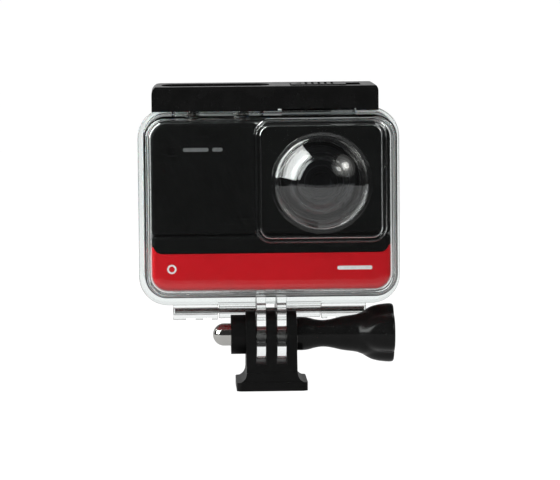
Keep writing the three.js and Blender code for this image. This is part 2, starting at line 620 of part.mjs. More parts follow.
for (const [button, x] of Object.entries(BUTTONS)) {
  const column = new THREE.Group();
  column.position.set(x, PLUNGER.y, 0);
  place(column, `${button}_plunger`, plunger(), steel);
  place(column, `${button}_spring`, returnSpring(), steel);
  place(column, `${button}_clip`, plungerClip(), steel);
  place(column, `${button}_o_ring`, oRing(), rubber);
  place(column, `camera_${button}_button`, cameraButton(), satin);
  housing.add(column);
}

const camera = new THREE.Group();
place(camera, 'core_front_cover', coreFrontCover(), satin);
place(camera, 'core_back_cover', coreBackCover(), satin);
place(camera, 'touch_screen_glass', screenPlate(GAP, 12.5, 13.2), glass);
place(camera, 'display_panel', screenPlate(1, 10.9, 12.1), foil);
place(camera, 'status_light_window', lightWindow(), glass);
place(camera, 'main_board', box(-32.6, 3.2, 48, -7, 4.4, 75.4), board);
place(camera, 'speaker', rod('y', -25, 55.5, 5, -10.8, -7.6, 9), foil);
place(camera, 'lens_front_cover', frontOf(lensShell(), 0).subtract(lensOpening()), satin);
place(camera, 'lens_back_cover', backOf(lensShell(), 0).subtract(lensOpening()), satin);
place(camera, 'battery_shell', batteryShell(), red);
place(camera, 'battery_top', batteryTop(), satin);
place(camera, 'battery_cell', batteryCell(), foil);

for (const [side, turn] of [['front', 0], ['rear', Math.PI]]) {
  const optics = new THREE.Group();
  optics.position.set(LENS.x, 0, LENS.z);
  optics.rotation.z = turn;
  place(optics, `${side}_dome`, housingDome(), clear);
  place(optics, `${side}_lens`, lensGlass(), glass);
  place(optics, `${side}_lens_ring`, lensRing(), black);
  place(optics, `${side}_lens_barrel`, lensBarrel(), satin);
  place(optics, `${side}_image_sensor`, imageSensor(), foil);
  camera.add(optics);
}

model.add(mount, housing, latch, camera);

export default model;
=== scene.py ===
"""Looks for the 360-degree action camera in its clear dive housing, on a three-finger tripod mount.

Lengths in this file are millimetres, as in the CAD, and become metres where a mesh is made.
The front faces -Y, +X is to the right of someone facing it, and +Z is up.
"""

import math

import bmesh
import bpy
import numpy as np
from mathutils import Matrix, Vector


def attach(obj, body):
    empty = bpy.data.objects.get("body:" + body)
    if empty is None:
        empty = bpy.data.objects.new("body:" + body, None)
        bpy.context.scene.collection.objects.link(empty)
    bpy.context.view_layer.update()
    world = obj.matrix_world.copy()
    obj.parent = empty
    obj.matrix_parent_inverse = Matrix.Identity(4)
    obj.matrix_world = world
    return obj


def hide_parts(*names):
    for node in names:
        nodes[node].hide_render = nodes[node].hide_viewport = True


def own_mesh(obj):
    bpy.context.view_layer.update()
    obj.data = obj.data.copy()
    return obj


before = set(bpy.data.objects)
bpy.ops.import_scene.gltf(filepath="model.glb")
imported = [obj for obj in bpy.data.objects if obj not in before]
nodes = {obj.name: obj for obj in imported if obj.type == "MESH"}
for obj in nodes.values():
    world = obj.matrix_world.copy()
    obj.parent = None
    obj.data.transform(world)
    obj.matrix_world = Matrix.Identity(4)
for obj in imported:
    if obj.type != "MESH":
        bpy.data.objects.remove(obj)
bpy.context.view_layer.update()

MM = 0.001
GAP = 0.3

# -------- dimensions of the CAD part

CAMERA_HALF, CAMERA_LOW, CAMERA_HIGH, CAMERA_DEPTH = 34.95, 29.65, 78.75, 13.25
CAMERA_CORNER, CAMERA_WALL, MODULE_EDGE, BATTERY_EDGE = 5, 1.3, 1.3, 1.7
CORE_LOW, STRIP_LOW, CHEEK = 45.9, 40.5, 42.5
MODULE_SPLIT, CORE_SEAM, LENS_SEAM, HAIRLINE = -3.9, 1.5, 0, 0.06
LIGHT_X, LIGHT_Z, LIGHT_HALF = -28.7, 70.4, 1.25
PORTS = [(-28.4, 50.8), (-9.6, 50.9), (-7.9, 50.9), (-6.2, 50.9)]
PORT_RADIUS, WELL_RADIUS = 0.42, 2.05
SCREEN = (-32.4, 50, -6.8, 76.2)
SCREEN_CORNER = 1.2

CASE_HALF, CASE_LOW, CASE_HIGH, CASE_DEPTH, CASE_CORNER = 36.8, 27.7, 80.7, 16.3, 6.5
CASE_WALL, CASE_FACE, SEAM = 1.5, 1.8, 6.5
CAVITY_HALF, CAVITY_CORNER = CASE_HALF - CASE_WALL, 5.2
CAVITY_LOW, CAVITY_HIGH = CASE_LOW + CASE_WALL, CASE_HIGH - CASE_WALL
FLANGE_HALF, FLANGE_LOW, FLANGE_HIGH, FLANGE_THICK, FLANGE_CORNER = 38.7, 23.8, 82, 2.45, 8.6
BOSS_LEFT, BOSS_LOW, BOSS_RIGHT, BOSS_HIGH = -4.8, 43.7, 33.7, 79.5
BOSS_CORNER, BOSS_DRAFT, BOSS_DEPTH, BOSS_WALL = 4.6, 0.5, 21.5, 1

LENS_X, LENS_Z = 14.5, 61.3
LENS_RADIUS, LENS_APEX, LENS_RING = 11.5, 21.6, 13
# How far the glass stands off the cover, and how thick it is at its rim and in its middle.
LENS_SEAT, LENS_RIM, LENS_MIDDLE = 0.15, 1.3, 1.4
DOME_RADIUS, DOME_CENTRE, DOME_THICK, DOME_RING, DOME_NECK = 15.9, 13.6, 1.9, 14.65, 13.2

HINGE_Y, HINGE_Z, HINGE_MIDDLE, HINGE_REACH, HINGE_NOTCH = 9, 21.6, 15.1, 28.7, 1.5
HINGE_INNER, HINGE_OUTER, HINGE_PIN = 2.3, 2.7, 0.75
KNUCKLE_CORES = [(17.2, 19.8), (22.1, 24.9)]
BORE_ROOM = 0.1
PIVOT_Y, PIVOT_Z = -3, 15.7
FINGER_RADIUS, FINGER_HALF, FINGER_FLOOR, FINGER_WAIST = 7, 7.45, 7.7, 10
SLOT_FROM, SLOT_TO = 1.45, 4.55
PRONG_FROM, PRONG_TO, PRONG_RADIUS = 1.6, 4.4, 7.4
BASE_HALF, BASE_FRONT, BASE_BACK, BASE_RIM = 10.4, -13.5, 8, 2.3
BASE_CORNER, BASE_FILLET, BASE_INSET = 1.8, 2.95, 0.4
SOCKET_RADIUS, SOCKET_DEPTH = 4.4, 5.6
SCREW_RADIUS, SCREW_END, SCREW_HEAD, SCREW_FLATS = 2.5, -14.4, 24.7, 7
THREAD_PITCH, THREAD_DEPTH, THREAD_END = 0.8, 0.42, 7.6
NUT_BOSS, NUT_FROM, NUT_FLATS, NUT_DOME, NUT_TIP, NUT_ROOM = 5.8, -11.8, 8, 3.3, -17.1, 0.12
KNOB_FROM, KNOB_END, KNOB_OFFSET, KNOB_BLEND = 8.4, 36.2, 3.8, 14
# The radius of the knob's neck and of each lobe by distance along the screw, the share of the size that
# the end's round corner leaves, and the lobes' angles. A high blend keeps the creases between them narrow.
KNOB_NECK = [
    (8.4, 4.9), (9, 4.95), (11, 4.75), (13, 4.15), (15, 3.9), (17, 4.05), (19, 4.5), (21, 5), (23.5, 5.3),
    (25.5, 5.6), (27, 6.3), (36.2, 6.3),
]
KNOB_SWELL = [
    (25.2, 0), (26.2, 1.9), (27.7, 3.3), (28.7, 4), (29.9, 4.6), (32, 5.1), (34.5, 5.35), (36.2, 5.35),
]
KNOB_CORNER = [(35.2, 1), (35.7, 0.99), (36, 0.97), (36.2, 0.93)]
KNOB_LOBES = (85, -35, -155)
KNOB_RIM = [(7.7, 4.5), (7.7, 4.9), (8.6, 4.9), (8.6, 4.5)]

LATCH_LEFT, LATCH_RIGHT, LATCH_FRONT = -34.4, 31.8, -9.5
LATCH_LOW, LATCH_SKIRT, LATCH_HIGH, LATCH_CROWN = 82.35, 81.7, 88.9, 89.6
LATCH_CORNERS, LATCH_BEVEL = (0.5, 0.5, 2.2, 3), 0.3
PIN_Y, PIN_Z, PIN_RADIUS, PIN_KNUCKLE, EAR_RADIUS = 11, 85.9, 1, 3.4, 2.6
EARS = [(-27.4, -20.8), (18.6, 25.2)]
WINDOW_LEFT, WINDOW_RIGHT, WINDOW_FRONT, WINDOW_BACK = -31.4, 0.2, -6.4, 2.4
LOCK_LEFT, LOCK_RIGHT, LOCK_FRONT, LOCK_BACK, LOCK_FLOOR, LOCK_TOP = 6.4, 22.6, -5.6, 1.4, 87.2, 89.75
LOCK_TRAVEL, LOCK_SLOPE = 4, 0.5
CATCH_LEFT, CATCH_RIGHT = 3.6, 25.1
CATCH = [(-7.5, CASE_HIGH - 0.5), (-7.5, 81.75), (-3.2, 82.6), (-2, 82.6), (-1.4, CASE_HIGH - 0.5)]
RIM_LEFT, RIM_FRONT, RIM_RIGHT, RIM_BACK = -28.6, -5.9, -1.6, 1.9
RIM_CORNER, RIM_LOW, RIM_HIGH, RIM_WALL = 2.6, CASE_HIGH - 0.4, 81.5, 1.1
NUB_HALF, NUB_PROUD, NUB_BEVEL = 0.6, 0.3, 0.15
NUBS_LOW, NUBS_TOP, NUBS_SIDE = (-24.3, 24.3), (-15.9, 24.3), (40.7, 70.4)

PLUNGER_Y, PLUNGER_STEM, PLUNGER_BORE, PLUNGER_HEAD = -2, 1.2, 1.5, 2.7
PLUNGER_LOW, PLUNGER_UNDER, PLUNGER_TOP = 79.25, 81.75, 82.35
COLLAR_RADIUS, COLLAR_HIGH = 3.1, 81
# Radius, start and end of a button's bore, of the room for its clip and of that for its seal and spring.
BUTTON_BORES = [(PLUNGER_BORE, 70, 90), (2.15, 78.2, 79.75), (2.35, 80.2, 82)]
BUTTONS = {"shutter": -8, "power": -22.5}
# The return spring under each plunger's head.
SPRING_RADIUS, SPRING_WIRE, SPRING_LOW, SPRING_HIGH, SPRING_TURNS = 1.95, 0.13, 80.85, 81.5, 1.6

AXES = {"x": Vector((1, 0, 0)), "y": Vector((0, 1, 0)), "z": Vector((0, 0, 1))}

# -------- mesh helpers


def shade(mesh, smooth=35):
    """Smooth shading, except where faces meet at more than that many degrees."""
    mesh.polygons.foreach_set("use_smooth", [True] * len(mesh.polygons))
    mesh.set_sharp_from_angle(angle=math.radians(smooth))


def finish_mesh(name, bm, smooth=35):
    """A mesh object from bm."""
    bmesh.ops.remove_doubles(bm, verts=bm.verts, dist=1e-7)
    bmesh.ops.recalc_face_normals(bm, faces=bm.faces)
    mesh = bpy.data.meshes.new(name)
    bm.to_mesh(mesh)
    bm.free()
    shade(mesh, smooth)
    piece = bpy.data.objects.new(name, mesh)
    bpy.context.scene.collection.objects.link(piece)
    return piece


def bridge(bm, lower, upper):
    """Faces between two rows of vertices; a row of one vertex is a point on an axis."""
    for i in range(max(len(lower), len(upper))):
        j = i + 1
        corners = [lower[i % len(lower)], lower[j % len(lower)], upper[j % len(upper)], upper[i % len(upper)]]
        corners = list(dict.fromkeys(corners))
        if len(corners) > 2:
            bm.faces.new(corners)


def loft(name, rings, smooth=35, closed=False):
    """A surface through rings of points: its two ends are capped, or joined where it closes on itself."""
    bm = bmesh.new()
    rows = [[bm.verts.new(Vector(point) * MM) for point in ring] for ring in rings]
    for lower, upper in zip(rows, rows[1:]):
        bridge(bm, lower, upper)
    if closed:
        bridge(bm, rows[-1], rows[0])
    else:
        for end in (rows[0], rows[-1]):
            if len(end) > 2:
                bm.faces.new(end)
    return finish_mesh(name, bm, smooth)


def polar(name, along, centre, stations, radius_at, sides=96, smooth=35, closed=False):
    """A piece round an axis, from each station's distance and radius_at(station, angle)."""
    side = Vector((along[1], along[2], along[0]))
    up = along.cross(side)
    turns = [2 * math.pi * i / sides for i in range(sides)]
    rings = []
    for station in stations:
        middle = Vector(centre) + along * station[0]
        if station[1] < 1e-6:
            rings.append([middle])
        else:
            rings.append([
                middle + (side * math.cos(turn) + up * math.sin(turn)) * radius_at(station, turn)
                for turn in turns
            ])
    return loft(name, rings, smooth, closed)


def lathe(name, along, centre, profile, sides=96, smooth=35):
    """A turned piece. The profile is [distance along the axis, radius], and closes on itself off the axis."""
    closed = profile[0][1] > 0 and profile[-1][1] > 0
    return polar(name, along, centre, profile, lambda station, turn: station[1], sides, smooth, closed)


def soften(points, radii, steps=4, closed=False):
    """The same line of points with each corner rounded; radii is one size or one for each point.
    A length is measured on the points' first and last numbers."""
    points = [np.array(point, float) for point in points]
    count = len(points)
    sizes = radii if isinstance(radii, (list, tuple)) else [radii] * count
    result = []
    for i, corner in enumerate(points):
        if sizes[i] == 0 or (not closed and i in (0, count - 1)):
            result.append(corner)
            continue
        before = points[i - 1] - corner
        after = points[(i + 1) % count] - corner
        room_before, room_after = math.hypot(before[0], before[-1]), math.hypot(after[0], after[-1])
        start = corner + before / room_before * min(sizes[i], room_before * 0.48)
        end = corner + after / room_after * min(sizes[i], room_after * 0.48)
        for k in range(steps + 1):
            t = k / steps
            result.append(start * (1 - t) ** 2 + corner * 2 * t * (1 - t) + end * t ** 2)
    return result


def arc(centre, radius, start, end, count):
    """Points [distance, radius] of a circle about a centre on the axis, by angle from the axis in radians."""
    angles = [start + (end - start) * i / count for i in range(count + 1)]
    return [(centre + radius * math.cos(a), radius * math.sin(a)) for a in angles]


def around(u, v, radius, start, end, count):
    """Points of a circle about (u, v), from start to end in half turns."""
    turns = [math.pi * (start + (end - start) * i / count) for i in range(count + 1)]
    return [(u + radius * math.cos(turn), v + radius * math.sin(turn)) for turn in turns]


def rounded(left, low, right, high, radii, steps=8):
    """The outline of a rectangle with round corners; radii run anticlockwise from the lower left."""
    a, b, c, d = radii if hasattr(radii, "__len__") else (radii,) * 4
    return [
        *around(left + a, low + a, a, 1, 1.5, steps), *around(right - b, low + b, b, 1.5, 2, steps),
        *around(right - c, high - c, c, 0, 0.5, steps), *around(left + d, high - d, d, 0.5, 1, steps),
    ]


def rect(left, low, right, high, radii, y, inset=0):
    """One section of a boxy loft, as an array, so that sections can be blended."""
    radii = radii if hasattr(radii, "__len__") else (radii,) * 4
    kept = [max(radius - inset, 0.3) for radius in radii]
    return np.array([left + inset, low + inset, right - inset, high - inset, *kept, y], float)


def sections(name, rects, radii, steps=8, smooth=35, closed=False):
    """A loft through such sections, with each change of direction rounded."""
    rings = []
    for r in soften(rects, radii, 5, closed):
        outline = rounded(r[0], r[1], r[2], r[3], list(r[4:8]), steps)
        rings.append([(u, r[8], v) for u, v in outline])
    return loft(name, rings, smooth, closed)


def prism(name, axis, outline, start, end, bevel=0):
    """An outline made thick along an axis, its edges bevelled. The outline lies in YZ, XZ or XY."""
    place = {
        "x": lambda u, v, w: (w, u, v),
        "y": lambda u, v, w: (u, w, v),
        "z": lambda u, v, w: (u, v, w),
    }[axis]
    piece = loft(name, [[place(u, v, w) for u, v in outline] for w in (start, end)])
    if bevel:
        bm = bmesh.new()
        bm.from_mesh(piece.data)
        sharp = [edge for edge in bm.edges if edge.calc_face_angle(0) > math.radians(35)]
        bmesh.ops.bevel(bm, geom=sharp, offset=bevel * MM, segments=2, profile=0.5, affect="EDGES",
                        clamp_overlap=True)
        bpy.data.objects.remove(piece)
        return finish_mesh(name, bm)
    return piece


def box(name, x0, y0, z0, x1, y1, z1, bevel=0):
    return prism(name, "z", [(x0, y0), (x1, y0), (x1, y1), (x0, y1)], z0, z1, bevel)


def rod(name, axis, u, v, radius, start, end, sides=48, bevel=0):
    """A round bar along an axis, through the other two coordinates u and v, in the order x, y, z."""
    centre = {"x": (0, u, v), "y": (u, 0, v), "z": (u, v, 0)}[axis]
    profile = [(start, 0), (start, radius), (end, radius), (end, 0)]
    return lathe(name, AXES[axis], centre, soften(profile, bevel, 3) if bevel else profile, sides)


def combine(target, operation, tools):
    """Joins the tools to the target, cuts them from it or keeps what they share, and removes them."""
    for tool in tools:
        step = target.modifiers.new("combine", "BOOLEAN")
        step.operation = operation
        step.solver = "EXACT"
        step.object = tool
    evaluated = target.evaluated_get(bpy.context.evaluated_depsgraph_get())
    mesh = bpy.data.meshes.new_from_object(evaluated)
    target.modifiers.clear()
    target.data = mesh
    for tool in tools:
        bpy.data.objects.remove(tool)
    bm = bmesh.new()
    bm.from_mesh(mesh)
    bmesh.ops.remove_doubles(bm, verts=bm.verts, dist=2e-7)
    bmesh.ops.dissolve_degenerate(bm, edges=bm.edges, dist=1e-7)
    bm.to_mesh(mesh)
    bm.free()
    shade(mesh)
    return target


def join(target, *tools):
    return combine(target, "UNION", tools)


def cut(target, *tools):
    return combine(target, "DIFFERENCE", tools)


def bevelled(piece, width, segments=3):
    """Rounds the piece's sharp edges by that many millimetres."""
    bevel = piece.modifiers.new("edges", "BEVEL")
    bevel.width = width * MM
    bevel.segments = segments
    bevel.limit_method = "ANGLE"
    bevel.angle_limit = math.radians(35)
    bevel.miter_outer = "MITER_ARC"
    bevel.harden_normals = True
    return weighted(piece)


def weighted(piece):
    """Shades flat faces flat, so that small bevels catch the light."""
    normals = piece.modifiers.new("normals", "WEIGHTED_NORMAL")
    normals.keep_sharp = True
    return piece


def show(piece, body, slot, node, finish=None):
    """Gives the piece its material, found by its finish or else by its slot, and its body, and hides the CAD
    node that it stands for.
    """
    piece.data.materials.clear()
    piece.data.materials.append(finishes[finish or slot])
    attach(piece, body)
    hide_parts(node)
    return piece


# -------- materials


class Finish:
    """A Principled material that is built up node by node. Sizes are in millimetres."""

    def __init__(self, name, sockets):
        self.material = bpy.data.materials.new(name)
        self.material.use_nodes = True
        self.tree = self.material.node_tree
        self.shader = self.tree.nodes["Principled BSDF"]
        self.output = self.tree.nodes["Material Output"]
        for socket, value in sockets.items():
            self.shader.inputs[socket].default_value = (*value, 1) if isinstance(value, tuple) else value
        self.place = self.add("ShaderNodeTexCoord").outputs["Object"]

    def add(self, kind, inputs=(), **settings):
        node = self.tree.nodes.new(kind)
        for name, value in settings.items():
            setattr(node, name, value)
        for socket, value in dict(inputs).items():
            if isinstance(value, bpy.types.NodeSocket):
                self.tree.links.new(value, node.inputs[socket])
            else:
                node.inputs[socket].default_value = value
        return node

    def stretched(self, scale, turn=(0, 0, 0)):
        """The place in millimetres, divided by scale along each axis, after a turn in degrees."""
        turned = self.add("ShaderNodeMapping", {
            "Vector": self.place,
            "Rotation": tuple(math.radians(angle) for angle in turn),
        })
        return self.add("ShaderNodeMapping", {
            "Vector": turned.outputs["Vector"],
            "Scale": tuple(1000 / size for size in scale),
        }).outputs["Vector"]

    def noise(self, size, detail=3, roughness=0.55, turn=(0, 0, 0)):
        """A value of 0 to 1 that wanders over that many millimetres, or over one size along each axis."""
        scale = size if hasattr(size, "__len__") else (size,) * 3
        return self.add("ShaderNodeTexNoise", {
            "Vector": self.stretched(scale, turn), "Scale": 1.0, "Detail": detail, "Roughness": roughness,
        }).outputs["Fac"]

    def ribs(self, pitch, lean):
        """Straight ribs up a face that looks along Y, that many millimetres apart and degrees off upright."""
        return self.add("ShaderNodeTexWave", {
            "Vector": self.stretched((pitch,) * 3, (0, lean, 0)), "Scale": math.pi / 10,
        }).outputs["Fac"]

    def spread(self, value, low, high, start=0.3, end=0.7):
        """The value from start to end, turned into a number from low to high."""
        return self.add("ShaderNodeMapRange", {
            "Value": value, "From Min": start, "From Max": end, "To Min": low, "To Max": high,
        }).outputs["Result"]

    def vary(self, socket, value, low, high):
        self.tree.links.new(self.spread(value, low, high), self.shader.inputs[socket])

    def tint(self, value, dark, pale, start=0.3, end=0.7):
        """Colours the piece from dark to pale by the value."""
        mix = self.add("ShaderNodeMix", {"Factor": self.spread(value, 0, 1, start, end)}, data_type="RGBA")
        # the colour sockets are given by number, because numbers and vectors use the same names
        mix.inputs[6].default_value = (*dark, 1)
        mix.inputs[7].default_value = (*pale, 1)
        self.tree.links.new(mix.outputs[2], self.shader.inputs["Base Color"])

    def bump(self, value, height, strength=1.0):
        """Raises the surface by up to height where the value is 1. Bumps add up."""
        inputs = {"Height": value, "Distance": height * MM, "Strength": strength}
        normal = self.shader.inputs["Normal"]
        if normal.is_linked:
            inputs["Normal"] = normal.links[0].from_socket
        self.tree.links.new(self.add("ShaderNodeBump", inputs).outputs["Normal"], normal)

    def letting_light_through(self, colour):
        """Lamps reach what is inside, as they do through real clear plastic."""
        ray = self.add("ShaderNodeLightPath").outputs["Is Shadow Ray"]
        gap = self.add("ShaderNodeBsdfTransparent", {"Color": (*colour, 1)})
        mix = self.add("ShaderNodeMixShader", {"Fac": ray})
        self.tree.links.new(self.shader.outputs["BSDF"], mix.inputs[1])
        self.tree.links.new(gap.outputs["BSDF"], mix.inputs[2])
        self.tree.links.new(mix.outputs["Shader"], self.output.inputs["Surface"])


def make_finishes():
    """The materials by name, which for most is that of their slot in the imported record."""
    made = {}

    def finish(slot, **sockets):
        named = {name.replace("_", " "): value for name, value in sockets.items()}
        made[slot] = Finish(slot, named)
        return made[slot]

    clear = finish("clear_plastic", Base_Color=(0.925, 0.945, 0.94), Transmission_Weight=1.0, IOR=1.49,
                   Specular_IOR_Level=0.35)
    clear.vary("Roughness", clear.noise(9), 0.0, 0.035)
    clear.bump(clear.noise(14, 1), 0.03, 0.5)
    clear.letting_light_through((0.95, 0.965, 0.965))

    bubble = finish("dome_plastic", Base_Color=(0.98, 0.985, 0.98), Transmission_Weight=1.0, IOR=1.5,
                    Specular_IOR_Level=0.24)
    bubble.vary("Roughness", bubble.noise(6), 0.0, 0.006)
    bubble.letting_light_through((0.96, 0.97, 0.97))

    optics = finish("optical_glass", Base_Color=(0.8, 0.82, 0.86), Transmission_Weight=1.0, IOR=1.5,
                    Specular_IOR_Level=0.06)
    optics.vary("Roughness", optics.noise(4), 0.0, 0.008)
    optics.letting_light_through((0.7, 0.7, 0.74))

    bracket = finish("bracket_plastic", Specular_IOR_Level=0.12)
    bracket.tint(bracket.noise(3), (0.003, 0.003, 0.003), (0.0045, 0.0045, 0.0045))
    bracket.vary("Roughness", bracket.noise(1.3), 0.34, 0.44)
    bracket.bump(bracket.noise(0.22, 2), 0.003)

    gloss = finish("black_gloss", Coat_Weight=0.06, Coat_Roughness=0.08, Specular_IOR_Level=0.16)
    gloss.tint(gloss.noise(5), (0.004, 0.004, 0.004), (0.006, 0.006, 0.006))
    gloss.vary("Roughness", gloss.noise(2.2), 0.16, 0.25)
    gloss.bump(gloss.noise((7, 0.3, 0.3), 2, 0.6, (0, 0, 20)), 0.0008, 0.5)

    for slot in ("camera_black", "ribbed_black"):
        shell = finish(slot, Specular_IOR_Level=0.1)
        shell.tint(shell.noise(4), (0.0022, 0.0022, 0.0022), (0.0035, 0.0035, 0.0035))
        shell.vary("Roughness", shell.noise(1.6), 0.34, 0.44)
        shell.bump(shell.noise(0.13, 2), 0.0012)
        if slot == "ribbed_black":
            shell.bump(shell.ribs(1.1, 28), 0.02)

    red = finish("battery_red", Coat_Weight=0.08, Coat_Roughness=0.12, Specular_IOR_Level=0.25)
    red.tint(red.noise(7, 4), (0.43, 0.003, 0.007), (0.5, 0.004, 0.010))
    red.vary("Roughness", red.noise(1.5), 0.3, 0.4)
    red.bump(red.noise(0.2, 2), 0.0012)

    screen = finish("screen_glass", Base_Color=(0.006, 0.006, 0.008), Coat_Weight=1.0, Coat_Roughness=0.02)
    screen.vary("Roughness", screen.noise(5), 0.03, 0.09)

    chrome = finish("polished_steel", Base_Color=(0.74, 0.73, 0.7), Metallic=1.0)
    chrome.vary("Roughness", chrome.noise(1.5), 0.06, 0.14)
    chrome.bump(chrome.noise(3, 1), 0.01, 0.4)

    steel = finish("plain_steel", Base_Color=(0.34, 0.335, 0.33), Metallic=1.0)
    steel.vary("Roughness", steel.noise((0.15, 2, 2)), 0.12, 0.26)
    steel.bump(steel.noise((0.12, 3, 3), 2), 0.006, 0.6)

    brass = finish("brass", Base_Color=(0.72, 0.53, 0.25), Metallic=1.0)
    brass.vary("Roughness", brass.noise(0.8), 0.2, 0.4)
    brass.bump(brass.noise((2, 2, 0.2)), 0.02, 0.6)

    rubber = finish("seal_rubber", Subsurface_Weight=0.2, Subsurface_Scale=0.001)
    rubber.tint(rubber.noise(2), (0.55, 0.57, 0.57), (0.68, 0.7, 0.7))
    rubber.vary("Roughness", rubber.noise(1), 0.5, 0.7)
    rubber.bump(rubber.noise(0.4, 2), 0.01)

    board = finish("circuit_board", Roughness=0.45)
    across = board.stretched((2.4, 1, 1.5), (90, 0, 0))
    tracks = board.add("ShaderNodeTexBrick", {"Vector": across, "Scale": 1.0})
    board.tint(tracks.outputs["Fac"], (0.01, 0.11, 0.04), (0.03, 0.2, 0.09), 0, 1)
    board.bump(tracks.outputs["Fac"], 0.03)

    can = finish("can_metal", Base_Color=(0.42, 0.43, 0.45), Metallic=0.9)
    can.vary("Roughness", can.noise((4, 4, 0.2)), 0.3, 0.5)
    can.bump(can.noise((3, 3, 0.15)), 0.004)

    print_grey = finish("print_grey", Roughness=0.6)
    print_grey.tint(print_grey.noise(0.5), (0.09, 0.09, 0.092), (0.13, 0.13, 0.132))

    print_white = finish("print_white", Roughness=0.5)
    print_white.tint(print_white.noise(0.5), (0.62, 0.6, 0.6), (0.74, 0.72, 0.72))
    return {slot: one.material for slot, one in made.items()}


finishes = make_finishes()

# -------- dive housing

front, back = -1, 1
facing = {front: Vector((0, -1, 0)), back: Vector((0, 1, 0))}


def about_lens(name, out, profile, sides=128):
    """A turned piece about the lens axis, that faces out."""
    return lathe(name, facing[out], (LENS_X, 0, LENS_Z), profile, sides, 30)


def case_section(y, inset=0):
    return rect(-CASE_HALF, CASE_LOW, CASE_HALF, CASE_HIGH, CASE_CORNER, y, inset)


def cavity_section(y, inset=0):
    return rect(-CAVITY_HALF, CAVITY_LOW, CAVITY_HALF, CAVITY_HIGH, CAVITY_CORNER, y, inset)


def flange_section(y):
    return rect(-FLANGE_HALF, FLANGE_LOW, FLANGE_HALF, FLANGE_HIGH, FLANGE_CORNER, y)


def boss_section(y, inset=0):
    return rect(BOSS_LEFT, BOSS_LOW, BOSS_RIGHT, BOSS_HIGH, BOSS_CORNER, y, inset)


def case_half(name, out):
    """A shell with its flange, raised lens box and dome hole. Out is front or back."""
    seam = SEAM + out * GAP / 2
    face, inner = out * CASE_DEPTH, out * (CASE_DEPTH - CASE_FACE)
    lip = seam + out * FLANGE_THICK
    shell = sections(name, [
        case_section(face, 4), case_section(face), case_section(lip), flange_section(lip),
        flange_section(seam), cavity_section(seam), cavity_section(inner), cavity_section(inner, 4),
    ], [0, 1.9, 0.6, 0.5, 0.25, 0.25, 0.9, 0], 12)
    top = out * BOSS_DEPTH
    boss = sections("boss", [
        boss_section(top, 5), boss_section(top, BOSS_DRAFT), boss_section(face, 0),
        boss_section(face - out * 0.12, -0.4), boss_section(face - out, -0.4),
    ], [0, 0.5, 0.5, 0, 0], 12)
    floor = top - out * CASE_FACE
    pocket = sections("pocket", [
        boss_section(floor, BOSS_WALL + 5), boss_section(floor, BOSS_WALL + BOSS_DRAFT),
        boss_section(inner, BOSS_WALL), boss_section(inner - out * 1.5, BOSS_WALL),
    ], [0, 0.6, 0, 0], 12)
    hole_radius, hole_end = DOME_NECK + 0.2, BOSS_DEPTH + 3
    hole = about_lens("hole", out, [
        (CASE_DEPTH, 0), (CASE_DEPTH, hole_radius), (hole_end, hole_radius), (hole_end, 0),
    ], 96)
    join(shell, boss)
    return cut(shell, pocket, hole)


def prong(start, end):
    """One of the two ears that slide between the mount's fingers."""
    top = CASE_LOW + 0.6
    outline = [(PIVOT_Y + PRONG_RADIUS + 2, top), (PIVOT_Y - PRONG_RADIUS, top)]
    outline += around(PIVOT_Y, PIVOT_Z, PRONG_RADIUS, 1, 2, 32)
    return prism("prong", "x", outline, start, end, 0.35)


def hinge_bore():
    return rod("bore", "x", HINGE_Y, HINGE_Z, HINGE_PIN + BORE_ROOM, -40, 40)


def button_rim():
    """The low wall round the two buttons, under the window in the latch bar."""
    rings = []
    for inset, z in ((0, RIM_LOW), (0, RIM_HIGH), (RIM_WALL, RIM_HIGH), (RIM_WALL, RIM_LOW)):
        left, right = RIM_LEFT + inset, RIM_RIGHT - inset
        outline = rounded(left, RIM_FRONT + inset, right, RIM_BACK - inset, RIM_CORNER - inset)
        rings.append([(u, v, z) for u, v in outline])
    return loft("rim", rings, 35, True)


def locating_nubs():
    """Small ribs inside the case that hold the camera off its walls."""
    half, proud, low, top = NUB_HALF, NUB_PROUD, CAVITY_LOW, CAVITY_HIGH
    nubs = [box("nub", x - half, -6, low - proud, x + half, 4, low + proud, NUB_BEVEL) for x in NUBS_LOW]
    nubs += [box("nub", x - half, -9, top - proud, x + half, -5, top + proud, NUB_BEVEL) for x in NUBS_TOP]
    for z in NUBS_SIDE:
        for edge in (-CAVITY_HALF, CAVITY_HALF):
            nubs.append(box("nub", edge - proud, -6, z - half, edge + proud, 4, z + half, NUB_BEVEL))
    return nubs


def front_shell():
    shell = case_half("front_case", front)
    seam = SEAM - GAP / 2
    parts = []
    for start, end in ((HINGE_NOTCH, HINGE_MIDDLE), (-HINGE_MIDDLE, -HINGE_NOTCH)):
        parts.append(rod("knuckle", "x", HINGE_Y, HINGE_Z, HINGE_INNER, start, end, 48, 0.3))
        parts.append(box("web", start, 4.2, 20.3, end, HINGE_Y - 1, HINGE_Z + 1.2, 0.25))
        parts.append(box("web", start, 4.3, 20.5, end, seam - 0.01, FLANGE_LOW + 1, 0.25))
    parts += [prong(PRONG_FROM, PRONG_TO), prong(-PRONG_TO, -PRONG_FROM)]
    for x in BUTTONS.values():
        parts.append(rod("collar", "z", x, PLUNGER_Y, COLLAR_RADIUS, CASE_HIGH - 0.5, COLLAR_HIGH, 48, 0.2))
    parts.append(button_rim())
    parts += locating_nubs()
    parts.append(prism("catch", "x", CATCH, CATCH_LEFT, CATCH_RIGHT, 0.2))
    join(shell, *parts)
    bores = [hinge_bore(), rod("bore", "x", PIVOT_Y, PIVOT_Z, SCREW_RADIUS + BORE_ROOM, -8, 8)]
    for x in BUTTONS.values():
        bores += [rod("bore", "z", x, PLUNGER_Y, radius, start, end) for radius, start, end in BUTTON_BORES]
    cut(shell, *bores)
    return weighted(shell)


